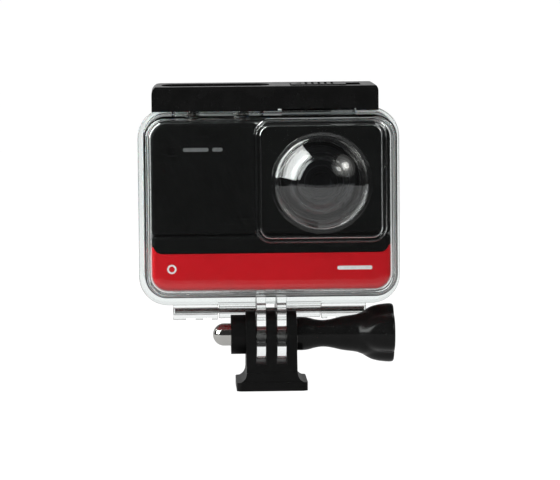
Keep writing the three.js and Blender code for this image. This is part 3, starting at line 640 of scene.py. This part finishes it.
def seal_loop(name, inner, outer, start, end, edge):
    """A loop round the mouth of the case, from inner to outer millimetres outside it."""
    return sections(name, [
        cavity_section(start, -inner), cavity_section(start, -outer), cavity_section(end, -outer),
        cavity_section(end, -inner),
    ], edge, 12, 35, True)


def back_shell():
    shell = case_half("back_case", back)
    seam = SEAM + GAP / 2
    parts = []
    for start, end in ((HINGE_MIDDLE + GAP, HINGE_REACH), (-HINGE_REACH, -HINGE_MIDDLE - GAP)):
        parts.append(rod("knuckle", "x", HINGE_Y, HINGE_Z, HINGE_OUTER, start, end, 48, 0.3))
        web_end = seam + FLANGE_THICK - 0.1
        parts.append(box("web", start, seam + 0.01, HINGE_Z, end, web_end, FLANGE_LOW + 1, 0.25))
    foot = CASE_HIGH - 0.6
    for start, end in EARS:
        outline = [(PIN_Y - EAR_RADIUS, foot), (PIN_Y + 4, foot), *around(PIN_Y, PIN_Z, EAR_RADIUS, 0, 1, 24)]
        parts.append(prism("ear", "x", outline, start, end, 0.35))
    join(shell, *parts)
    reach = HINGE_MIDDLE + GAP
    cores = [
        box("core", start, HINGE_Y - 4, HINGE_Z - 4, end, HINGE_Y + 4, HINGE_Z - HINGE_OUTER + 0.7)
        for start, end in KNUCKLE_CORES + [(-end, -start) for start, end in KNUCKLE_CORES]
    ]
    cut(
        shell,
        *cores,
        rod("room", "x", HINGE_Y, HINGE_Z, HINGE_INNER + 0.45, -reach, reach),
        box("room", -reach, 0, 18, reach, HINGE_Y, HINGE_Z + 1.7),
        seal_loop("groove", 0.7, 2.3, SEAM, SEAM + 1.75, 0.1),
        hinge_bore(),
        rod("bore", "x", PIN_Y, PIN_Z, PIN_RADIUS + 0.15, -40, 40),
    )
    return weighted(shell)


def dome(name, out):
    """The bubble over a lens, with the thin ring that it is bonded on by."""
    ring_face, ring_back = BOSS_DEPTH + 0.45, BOSS_DEPTH + 0.05
    neck_end = BOSS_DEPTH - CASE_FACE + 0.1
    inner = DOME_RADIUS - DOME_THICK
    outer_edge = math.acos((ring_face - DOME_CENTRE) / DOME_RADIUS)
    inner_edge = math.acos((neck_end - DOME_CENTRE) / inner)
    outside = arc(DOME_CENTRE, DOME_RADIUS, 0, outer_edge, 48)
    inside = arc(DOME_CENTRE, inner, inner_edge, 0, 40)
    foot = soften([
        outside[-2], (ring_face, DOME_RADIUS * math.sin(outer_edge) + 0.1), (ring_face, DOME_RING),
        (ring_back, DOME_RING), (ring_back, DOME_NECK), (neck_end, DOME_NECK),
        (neck_end, inner * math.sin(inner_edge)), inside[1],
    ], [0, 0.25, 0.15, 0.1, 0.05, 0.15, 0.15, 0], 3)
    return about_lens(name, out, [*outside[:-2], *foot, *inside[2:]])


show(front_shell(), "housing", "clear_plastic", "front_shell")
show(back_shell(), "door", "clear_plastic", "back_shell")
show(dome("front_bubble", front), "housing", "clear_plastic", "front_dome", "dome_plastic")
show(dome("rear_bubble", back), "door", "clear_plastic", "rear_dome", "dome_plastic")
show(seal_loop("seal_loop", 1, 2, SEAM + 0.2, SEAM + 1.45, 0.35), "door", "seal_rubber", "door_seal")

# -------- camera


def half_module(name, outline, radii, out, seam):
    """Half of a hollow camera module, from its face to the seam. Outline is left, low, right, high."""
    face, inner = out * CAMERA_DEPTH, out * (CAMERA_DEPTH - CAMERA_WALL)
    left, low, right, high = outline
    wall = (left + CAMERA_WALL, low + CAMERA_WALL, right - CAMERA_WALL, high - CAMERA_WALL)
    return sections(name, [
        rect(*outline, radii, face, 3), rect(*outline, radii, face), rect(*outline, radii, seam),
        rect(*wall, 1, seam), rect(*wall, 1, inner), rect(*wall, 1, inner, 3),
    ], [0, MODULE_EDGE, 0.12, 0.12, 0.4, 0], 10)


core_outline = (-CAMERA_HALF, CORE_LOW, MODULE_SPLIT - 0.1, CAMERA_HIGH)
lens_outline = (MODULE_SPLIT + 0.1, CORE_LOW, CAMERA_HALF, CAMERA_HIGH)
core_radii = (1.6, 1.2, 1.2, CAMERA_CORNER)
lens_radii = (1.2, 1.6, CAMERA_CORNER, 1.2)


def core_front():
    core = half_module("core_front", core_outline, core_radii, front, CORE_SEAM - HAIRLINE)
    left, right, low, high = (at + side * LIGHT_HALF for at in (LIGHT_X, LIGHT_Z) for side in (-1, 1))
    tools = [box("light", left, -20, low, right, -12.9, high)]
    tools += [rod("port", "y", x, z, PORT_RADIUS, -20, -12.6, 24) for x, z in PORTS]
    tools += [rod("well", "z", x, PLUNGER_Y, WELL_RADIUS, 77, 90) for x in BUTTONS.values()]
    return weighted(cut(core, *tools))


def screen_plate(name, inset, start, end, edge):
    left, low, right, high = SCREEN
    corners = (left + inset, low + inset, right - inset, high - inset, SCREEN_CORNER)
    return sections(name, [
        rect(*corners, start, 3), rect(*corners, start), rect(*corners, end), rect(*corners, end, 3),
    ], [0, edge, edge, 0], 8)


def core_back():
    core = half_module("core_back", core_outline, core_radii, back, CORE_SEAM + HAIRLINE)
    return weighted(cut(core, screen_plate("opening", 0, 5, 20, 0)))


def lens_cover(name, out):
    cover = half_module(name, lens_outline, lens_radii, out, LENS_SEAM + out * HAIRLINE)
    opening = rod("opening", "y", LENS_X, LENS_Z, LENS_RING + 0.08, *sorted((0, out * 30)), 128)
    return weighted(cut(cover, opening))


def battery_body(name):
    corners = (-CAMERA_HALF, CAMERA_LOW, CAMERA_HALF, CORE_LOW - 0.12)
    radii = (CAMERA_CORNER, CAMERA_CORNER, 1.2, 1.2)
    return sections(name, [
        rect(*corners, radii, -CAMERA_DEPTH, 3), rect(*corners, radii, -CAMERA_DEPTH),
        rect(*corners, radii, CAMERA_DEPTH), rect(*corners, radii, CAMERA_DEPTH, 3),
    ], [0, BATTERY_EDGE, BATTERY_EDGE, 0], 10)


def battery_line(raise_by):
    """Everything below the line where the base turns from red to black, which climbs at its two ends."""
    right = [(CAMERA_HALF + 2, CHEEK + raise_by)]
    start, middle, end = CAMERA_HALF - 0.7, CAMERA_HALF - 1.4, CAMERA_HALF - 3.4
    for i in range(13):
        t = i / 12
        u = (1 - t) ** 2 * start + 2 * t * (1 - t) * middle + t * t * end
        v = (1 - t) ** 2 * CHEEK + (1 - (1 - t) ** 2) * STRIP_LOW
        right.append((u, v + raise_by))
    left = [(-u, v) for u, v in reversed(right)]
    return [(-CAMERA_HALF - 2, 20), (CAMERA_HALF + 2, 20), *right, *left]


def battery_shell():
    inner = (CAMERA_WALL - CAMERA_HALF, CAMERA_LOW + CAMERA_WALL, CAMERA_HALF - CAMERA_WALL, 60)
    depth = CAMERA_DEPTH - CAMERA_WALL
    hollow = sections("hollow", [rect(*inner, 3.7, -depth), rect(*inner, 3.7, depth)], 0)
    shell = battery_body("battery_red_shell")
    combine(shell, "INTERSECT", [prism("below", "y", battery_line(0), -30, 30)])
    return bevelled(cut(shell, hollow), 0.12, 2)


def battery_top():
    top = battery_body("battery_black_top")
    return bevelled(cut(top, prism("below", "y", battery_line(0.1), -30, 30)), 0.12, 2)


def lens_glass(name, out):
    rise = LENS_APEX - CAMERA_DEPTH - LENS_SEAT
    bow = (LENS_RADIUS ** 2 + rise ** 2) / (2 * rise)
    inner_radius, inner_rise = LENS_RADIUS - LENS_RIM, rise - LENS_MIDDLE
    inner_bow = (inner_radius ** 2 + inner_rise ** 2) / (2 * inner_rise)
    profile = arc(LENS_APEX - bow, bow, 0, math.asin(LENS_RADIUS / bow), 40)
    inner_centre = LENS_APEX - LENS_MIDDLE - inner_bow
    profile += arc(inner_centre, inner_bow, math.asin(inner_radius / inner_bow), 0, 32)
    return about_lens(name, out, profile)


def lens_ring(name, out):
    profile = soften([
        (11.6, 11.8), (11.6, LENS_RING), (13.9, LENS_RING), (14.3, LENS_RING - 0.4), (14.3, 12.2),
        (13.9, 11.8),
    ], 0.15, 3, True)
    return about_lens(name, out, profile)


def lens_barrel(name, out):
    """The stepped black rings behind the glass, down to the small inner lens."""
    profile = soften([
        (2.4, 0), (2.4, 6), (8, 6.4), (8, 9.4), (12, 9.9), (12.9, 9.9), (12.9, 8.4), (14.2, 7.9), (14.2, 6.6),
        (15.6, 6.1), (15.6, 4.8), (16.4, 4.4), (16.4, 3), (15.4, 2.4), (15.9, 1.2), (16.05, 0),
    ], 0.12, 3)
    return about_lens(name, out, profile, 96)


show(core_front(), "housing", "camera_black", "core_front_cover", "ribbed_black")
show(core_back(), "housing", "camera_black", "core_back_cover")
show(lens_cover("lens_module_front", front), "housing", "camera_black", "lens_front_cover")
show(lens_cover("lens_module_back", back), "housing", "camera_black", "lens_back_cover")
show(battery_shell(), "housing", "battery_red", "battery_shell")
show(battery_top(), "housing", "camera_black", "battery_top")
cover_glass = screen_plate("screen_cover_glass", GAP, 12.5, 13.2, 0.2)
show(cover_glass, "housing", "screen_glass", "touch_screen_glass")
for side, out in (("front", front), ("rear", back)):
    show(lens_glass(side + "_lens_glass", out), "housing", "optical_glass", side + "_lens")
    show(lens_ring(side + "_lens_bezel", out), "housing", "black_gloss", side + "_lens_ring")
    show(lens_barrel(side + "_lens_tube", out), "housing", "camera_black", side + "_lens_barrel")

# -------- latch and buttons


def latch_bar():
    """The bar across the top: a lintel with a window over the buttons, on a knuckle behind."""
    low, inner = LATCH_LOW + 0.6, LATCH_FRONT + 1.3
    section = [
        (LATCH_FRONT, LATCH_SKIRT), (inner, LATCH_SKIRT), (inner, low), (PIN_Y - 4, low),
        (PIN_Y - 1.2, PIN_Z - PIN_KNUCKLE + 0.2), *around(PIN_Y, PIN_Z, PIN_KNUCKLE, -0.5, 0.45, 20),
        (6, LATCH_CROWN), (LATCH_FRONT + 0.9, LATCH_HIGH), (LATCH_FRONT, LATCH_HIGH - 0.8),
    ]
    bar = prism("latch_lintel", "x", section, LATCH_LEFT, LATCH_RIGHT)
    ends = rounded(LATCH_LEFT, LATCH_SKIRT - 1, LATCH_RIGHT, LATCH_CROWN, LATCH_CORNERS)
    combine(bar, "INTERSECT", [prism("ends", "y", ends, -30, 30)])
    window = rounded(WINDOW_LEFT, WINDOW_FRONT, WINDOW_RIGHT, WINDOW_BACK, 3.7, 12)
    tools = [prism("window", "z", window, 70, 100)]
    tools += [box("room", start - 0.35, PIN_Y - 4.4, 70, end + 0.35, PIN_Y + 10, 100) for start, end in EARS]
    lock_end = LOCK_RIGHT + LOCK_TRAVEL + 0.2
    tools += [
        box("catch", 2.4, LATCH_FRONT - 1, 70, 25.25, LATCH_FRONT + 1.4, LATCH_LOW),
        box("pad", 25, LATCH_FRONT + 1.2, 70, 31.4, -3.8, LATCH_LOW + 0.75),
        box("lock", LOCK_LEFT - 0.2, LOCK_FRONT - 0.2, LOCK_FLOOR, lock_end, LOCK_BACK + 0.2, 100),
        rod("bore", "x", PIN_Y, PIN_Z, PIN_RADIUS + 0.15, -40, 40),
    ]
    return bevelled(cut(bar, *tools), LATCH_BEVEL)


def lock_slide():
    """The slide on top of the bar, with grip grooves and a plain arrow in place of a word."""
    floor = LOCK_FLOOR + 0.15
    section = [
        (LOCK_FRONT, floor), (LOCK_BACK, floor), (LOCK_BACK, LOCK_TOP), (LOCK_FRONT, LOCK_TOP - LOCK_SLOPE),
    ]
    block = prism("latch_slide", "x", section, LOCK_LEFT, LOCK_RIGHT)
    tools = [
        box("groove", x, LOCK_FRONT + 1, LOCK_TOP - 0.65, x + 0.7, LOCK_BACK - 1, LOCK_TOP + 1)
        for x in (LOCK_LEFT + 4.2 + 1.9 * n for n in range(5))
    ]
    middle = (LOCK_FRONT + LOCK_BACK) / 2
    arrow = [(LOCK_LEFT + 3.1, middle - 1.3), (LOCK_LEFT + 3.1, middle + 1.3), (LOCK_LEFT + 1, middle)]
    tools.append(prism("arrow", "z", arrow, LOCK_TOP - 0.6, LOCK_TOP + 1))
    return bevelled(cut(block, *tools), 0.12, 2)


def plunger(name, x):
    profile = soften([
        (PLUNGER_LOW, 0), (PLUNGER_LOW, PLUNGER_STEM), (PLUNGER_UNDER, PLUNGER_STEM),
        (PLUNGER_UNDER, PLUNGER_HEAD), (PLUNGER_TOP, PLUNGER_HEAD), (PLUNGER_TOP - 0.12, 1.6),
        (PLUNGER_TOP - 0.2, 0),
    ], [0, 0.15, 0.1, 0.12, 0.2, 0.5, 0], 3)
    return lathe(name, AXES["z"], (x, PLUNGER_Y, 0), profile, 64, 30)


def return_spring(name, x):
    wire = around(0, 0, SPRING_WIRE, 0, 1.8, 9)
    rings = []
    for i in range(49):
        turn = 2 * math.pi * SPRING_TURNS * i / 48
        outward = Vector((math.cos(turn), math.sin(turn), 0))
        height = SPRING_LOW + (SPRING_HIGH - SPRING_LOW) * i / 48
        middle = Vector((x, PLUNGER_Y, height)) + outward * SPRING_RADIUS
        rings.append([middle + outward * u + AXES["z"] * v for u, v in wire])
    return loft(name, rings, 50)


show(latch_bar(), "latch", "black_gloss", "latch_bar")
show(lock_slide(), "lock", "black_gloss", "latch_lock")
for button, x in BUTTONS.items():
    show(plunger(button + "_push_rod", x), button, "polished_steel", button + "_plunger")
    spring = show(return_spring(button + "_return_coil", x), "housing", "plain_steel", button + "_spring")
    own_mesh(spring)

# -------- tripod mount


def hexagon(flats):
    """A hexagon round the pivot, that far across its flats."""
    return around(PIVOT_Y, PIVOT_Z, flats / math.sqrt(3), 1 / 6, 11 / 6, 5)


def mount_bracket():
    start, end = BASE_FRONT + BASE_INSET, BASE_BACK - BASE_INSET
    outline = [
        (PIVOT_Y - FINGER_RADIUS, FINGER_WAIST), (start, BASE_RIM), (end, BASE_RIM),
        (PIVOT_Y + FINGER_RADIUS, FINGER_WAIST), *around(PIVOT_Y, PIVOT_Z, FINGER_RADIUS, 0, 1, 32),
    ]
    bracket = prism("finger_mount", "x", outline, -FINGER_HALF, FINGER_HALF)
    plan = rounded(-BASE_HALF, BASE_FRONT, BASE_HALF, BASE_BACK, BASE_CORNER)
    foot = prism("foot", "z", plan, 0, BASE_RIM + 0.2)
    right = around(BASE_HALF, BASE_RIM + BASE_FILLET, BASE_FILLET, 1.5, 1, 10)
    left = [(-u, v) for u, v in reversed(right)]
    flare = prism("flare", "y", [*right, *left], start + 0.01, end - 0.01)
    nut_boss = rod("boss", "x", PIVOT_Y, PIVOT_Z, NUT_BOSS, NUT_FROM, -FINGER_HALF + 0.5, 64)
    join(bracket, foot, flare, nut_boss)
    cut(
        bracket,
        prism("pocket", "x", hexagon(NUT_FLATS + 2 * NUT_ROOM), NUT_FROM - 1, -FINGER_HALF - GAP),
        rod("bore", "x", PIVOT_Y, PIVOT_Z, SCREW_RADIUS + 0.12, -FINGER_HALF - 1, FINGER_HALF + 1),
        rod("socket", "z", 0, PIVOT_Y, SOCKET_RADIUS, -1, SOCKET_DEPTH),
        box("slot", SLOT_FROM, -30, FINGER_FLOOR, SLOT_TO, 30, 30),
        box("slot", -SLOT_TO, -30, FINGER_FLOOR, -SLOT_FROM, 30, 30),
    )
    return bevelled(bracket, 0.4, 3)


def acorn_nut():
    nut = prism("domed_nut", "x", hexagon(NUT_FLATS), NUT_FROM + 0.2, -FINGER_HALF - 2 * GAP, 0.3)
    middle = NUT_TIP + NUT_DOME
    profile = [(middle - d, r) for d, r in arc(0, NUT_DOME, 0, math.pi / 2, 24)]
    profile += [(NUT_FROM + 1, NUT_DOME), (NUT_FROM + 1, 0)]
    join(nut, lathe("cap", AXES["x"], (0, PIVOT_Y, PIVOT_Z), profile, 64, 30))
    bore = rod("bore", "x", PIVOT_Y, PIVOT_Z, SCREW_RADIUS + BORE_ROOM, SCREW_END - 0.6, 0)
    return weighted(cut(nut, bore))


def thumb_screw():
    """The M5 screw, its thread as a real spiral on the part that the nut reaches."""

    def radius_at(station, turn):
        distance, radius = station
        if radius < SCREW_RADIUS or distance > THREAD_END:
            return radius
        phase = (distance / THREAD_PITCH - turn / (2 * math.pi)) % 1
        fade = min(1, (THREAD_END - distance) / THREAD_PITCH, (distance - SCREW_END - 0.4) / THREAD_PITCH)
        return radius - THREAD_DEPTH * fade * abs(2 * phase - 1)

    stations = [(SCREW_END, 0), (SCREW_END, SCREW_RADIUS - 0.5)]
    count = int((THREAD_END - SCREW_END - 0.5) / (THREAD_PITCH / 6))
    stations += [(SCREW_END + 0.5 + i * THREAD_PITCH / 6, SCREW_RADIUS) for i in range(count + 1)]
    stations += [(SCREW_HEAD + 1, SCREW_RADIUS), (SCREW_HEAD + 1, 0)]
    screw = polar("threaded_screw", AXES["x"], (0, PIVOT_Y, PIVOT_Z), stations, radius_at, 40, 50)
    return join(screw, prism("head", "x", hexagon(SCREW_FLATS), SCREW_HEAD, SCREW_HEAD + 3, 0.2))


def thumb_knob():
    """A waisted neck that swells into a head of three round lobes, with a rim over the washer."""
    neck_at, neck_radius = zip(*soften(KNOB_NECK, 1, 3))
    swell_at, swell_radius = zip(*soften(KNOB_SWELL, 0.8, 3))
    corner_at, corner_size = zip(*KNOB_CORNER)

    def radius_at(station, turn):
        distance = station[0]
        swell = np.interp(distance, swell_at, swell_radius)
        reach = np.interp(distance, neck_at, neck_radius) ** KNOB_BLEND
        for lobe in KNOB_LOBES:
            off = turn - math.radians(lobe)
            room = swell ** 2 - (KNOB_OFFSET * math.sin(off)) ** 2
            if room > 0 and math.cos(off) > 0:
                reach += (KNOB_OFFSET * math.cos(off) + math.sqrt(room)) ** KNOB_BLEND
        return reach ** (1 / KNOB_BLEND) * np.interp(distance, corner_at, corner_size)

    corner_from = corner_at[0]
    distances = [KNOB_FROM + (corner_from - KNOB_FROM) * i / 84 for i in range(85)]
    distances += [35.45, 35.7, 35.85, 36, 36.1, KNOB_END]
    stations = [(KNOB_FROM, 0), *((distance, 1) for distance in distances), (KNOB_END, 0)]
    centre = (0, PIVOT_Y, PIVOT_Z)
    knob = polar("knob_grip", AXES["x"], centre, stations, radius_at, 144, 50)
    join(knob, lathe("rim", AXES["x"], centre, KNOB_RIM))
    return cut(
        knob,
        rod("bore", "x", PIVOT_Y, PIVOT_Z, SCREW_RADIUS + BORE_ROOM, 7, SCREW_HEAD + 0.5),
        rod("room", "x", PIVOT_Y, PIVOT_Z, 4.3, SCREW_HEAD - 0.2, SCREW_HEAD + 3.2),
    )


show(mount_bracket(), "mount", "bracket_plastic", "mount_bracket")
show(acorn_nut(), "mount", "polished_steel", "acorn_nut")
show(thumb_screw(), "knob", "plain_steel", "thumb_screw")
show(thumb_knob(), "knob", "black_gloss", "thumb_knob")

# -------- CAD pieces that keep their shape

kept = {
    "brass": ["tripod_thread_insert"],
    "plain_steel": ["thumb_washer", "hinge_pin", "latch_pin", "shutter_clip", "power_clip"],
    "seal_rubber": ["latch_pad", "shutter_o_ring", "power_o_ring"],
    "camera_black": ["camera_shutter_button", "camera_power_button"],
    "can_metal": ["display_panel", "speaker", "battery_cell", "front_image_sensor", "rear_image_sensor"],
    "circuit_board": ["main_board"],
    "optical_glass": ["status_light_window"],
}
for slot, names in kept.items():
    for name in names:
        piece = nodes[name]
        piece.data.materials.clear()
        piece.data.materials.append(finishes[slot])
        shade(piece.data)

# -------- plain printed marks

INK_LOW, INK_TOP = CAMERA_DEPTH - 0.03, CAMERA_DEPTH + 0.03
RING_X, RING_Z, RING_INNER, RING_OUTER = -29, 36.1, 0.85, 1.35


def printed(piece, finish):
    """A thin printed shape on the camera's face: it has its own ink and no slot."""
    piece.data.materials.append(finishes[finish])
    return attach(piece, "housing")


def printed_bar(name, left, low, right, high, finish):
    outline = rounded(left, low, right, high, (high - low) * 0.45, 4)
    return printed(prism(name, "y", outline, -INK_TOP, -INK_LOW), finish)


printed_bar("core_mark_long", -25.4, 70.3, -18, 71.4, "print_grey")
printed_bar("core_mark_short", -16.9, 70.3, -13.9, 71.4, "print_grey")
printed_bar("base_mark", 19.2, 35.5, 29.4, 36.6, "print_white")
ring = [(INK_LOW, RING_INNER), (INK_TOP, RING_INNER), (INK_TOP, RING_OUTER), (INK_LOW, RING_OUTER)]
printed(lathe("base_mark_ring", facing[front], (RING_X, 0, RING_Z), ring, 48), "print_white")

# -------- light, floor and camera

# In metres, watts and degrees, but the camera's lens and sensor in millimetres.
FLOOR_HALF, FLOOR_FRONT, FLOOR_BACK = 0.5, -0.35, 1.25
BACKDROP_HALF, BACKDROP_HIGH = 2, 1.5
LIGHT_DISTANCE, FILL_SIZE, FILL_POWER = 0.6, (0.5, 0.5), 2.2
# Width and power of the discs that together make one lamp with a soft edge, at the right.
RIGHT_DISCS = [(0.13, 0.5), (0.2, 0.25), (0.3, 0.25), (0.46, 0.3)]
LENS_LENGTH, SENSOR_WIDTH = 217.86, 36
AZIMUTH, ELEVATION, ROLL, DISTANCE = -1.9, 4.7, -0.5, 1
AIM = Vector((0.003, 0, 0.0432))


def level_by_ray(tree, bounces, reflected, direct):
    """The level direct for a ray that the eye follows straight or through clear plastic, with no more than
    that many other bounces, and the level reflected for any other ray."""

    def calculate(operation, first, second):
        node = tree.nodes.new("ShaderNodeMath")
        node.operation = operation
        for socket, value in zip(node.inputs, (first, second)):
            if isinstance(value, float):
                socket.default_value = value
            else:
                tree.links.new(value, socket)
        return node.outputs["Value"]

    ray = tree.nodes.new("ShaderNodeLightPath").outputs
    seen = calculate("MAXIMUM", ray["Is Camera Ray"], ray["Is Transmission Ray"])
    others = calculate("SUBTRACT", ray["Ray Depth"], ray["Transmission Depth"])
    straight = calculate("MULTIPLY", seen, calculate("LESS_THAN", others, bounces + 0.5))
    level = tree.nodes.new("ShaderNodeMapRange")
    level.inputs["To Min"].default_value = reflected
    level.inputs["To Max"].default_value = direct
    tree.links.new(straight, level.inputs["Value"])
    return level.outputs["Result"]


def stage_sheet(name, half, near, far):
    """A flat white sheet of that half width, between two edges that are given by their y and z."""
    bm = bmesh.new()
    corners = [(-half, *near), (half, *near), (half, *far), (-half, *far)]
    bm.faces.new([bm.verts.new(Vector(corner)) for corner in corners])
    sheet = finish_mesh(name, bm)
    sheet.data.materials.append(white)


white = bpy.data.materials.new("studio_white")
white.use_nodes = True
paint = white.node_tree.nodes["Principled BSDF"].inputs
paint["Base Color"].default_value = (0.06, 0.06, 0.06, 1)
paint["Roughness"].default_value = 0.9
paint["Specular IOR Level"].default_value = 0.1
paint["Emission Color"].default_value = (1, 1, 1, 1)
brightness = level_by_ray(white.node_tree, bounces=0, reflected=0.42, direct=0.98)
white.node_tree.links.new(brightness, paint["Emission Strength"])
stage_sheet("floor", FLOOR_HALF, (FLOOR_FRONT, 0), (FLOOR_BACK, 0))
stage_sheet("backdrop", BACKDROP_HALF, (FLOOR_BACK, 0), (FLOOR_BACK, BACKDROP_HIGH))

world = bpy.data.worlds.new("studio")
bpy.context.scene.world = world
world.use_nodes = True
background = world.node_tree.nodes["Background"]
background.inputs["Color"].default_value = (1, 1, 1, 1)
# a ray that reaches the world counts as one bounce further on
brightness = level_by_ray(world.node_tree, bounces=1, reflected=0.03, direct=1.0)
world.node_tree.links.new(brightness, background.inputs["Strength"])

dome_middle = Vector((LENS_X, -DOME_CENTRE, LENS_Z)) * MM


def lamp(name, direction, shape, size, power, upward=(0, 0, 1), colour=(1, 1, 1)):
    """An area lamp that faces the front dome from the given direction."""
    light = bpy.data.lights.new(name, "AREA")
    light.shape = shape
    light.size, light.size_y = size
    light.energy = power
    light.color = colour
    holder = bpy.data.objects.new(name, light)
    towards = Vector(direction).normalized()
    side = Vector(upward).cross(towards).normalized()
    up = towards.cross(side)
    turn = Matrix((side, up, towards)).transposed()
    holder.matrix_world = Matrix.Translation(dome_middle + towards * LIGHT_DISTANCE) @ turn.to_4x4()
    holder.visible_camera = False
    bpy.context.scene.collection.objects.link(holder)
    return holder


lamp("left_softbox", (-0.78, -0.25, 0.57), "RECTANGLE", (0.38, 0.68), 6.6, upward=(0.55, 0.08, 0.83),
     colour=(0.97, 1.0, 0.985))
for i, (width, power) in enumerate(RIGHT_DISCS):
    lamp("right_lamp_%d" % i, (0.77, -0.41, 0.51), "DISK", (width, width), power, colour=(1.0, 1.0, 0.96))
# the fills brighten matt surfaces only: no glossy or clear one shows them
for name, direction in (("front_fill", (0, -1, 0.35)), ("back_fill", (0.2, 1, 0.5))):
    fill = lamp(name, direction, "RECTANGLE", FILL_SIZE, FILL_POWER)
    fill.visible_glossy = False
    fill.visible_transmission = False

camera_data = bpy.data.cameras.new("photo_camera")
camera = bpy.data.objects.new("photo_camera", camera_data)
bpy.context.scene.collection.objects.link(camera)
bpy.context.scene.camera = camera
camera_data.sensor_width = SENSOR_WIDTH
camera_data.lens = LENS_LENGTH
camera_data.clip_start, camera_data.clip_end = 0.05, 20
azimuth, elevation, roll = (math.radians(angle) for angle in (AZIMUTH, ELEVATION, ROLL))
away = Vector((
    math.sin(azimuth) * math.cos(elevation), -math.cos(azimuth) * math.cos(elevation), math.sin(elevation),
))
turn = (-away).to_track_quat("-Z", "Y").to_matrix() @ Matrix.Rotation(roll, 3, "Z")
camera.matrix_world = Matrix.Translation(AIM + away * DISTANCE) @ turn.to_4x4()
bpy.context.scene.view_settings.view_transform = "Standard"
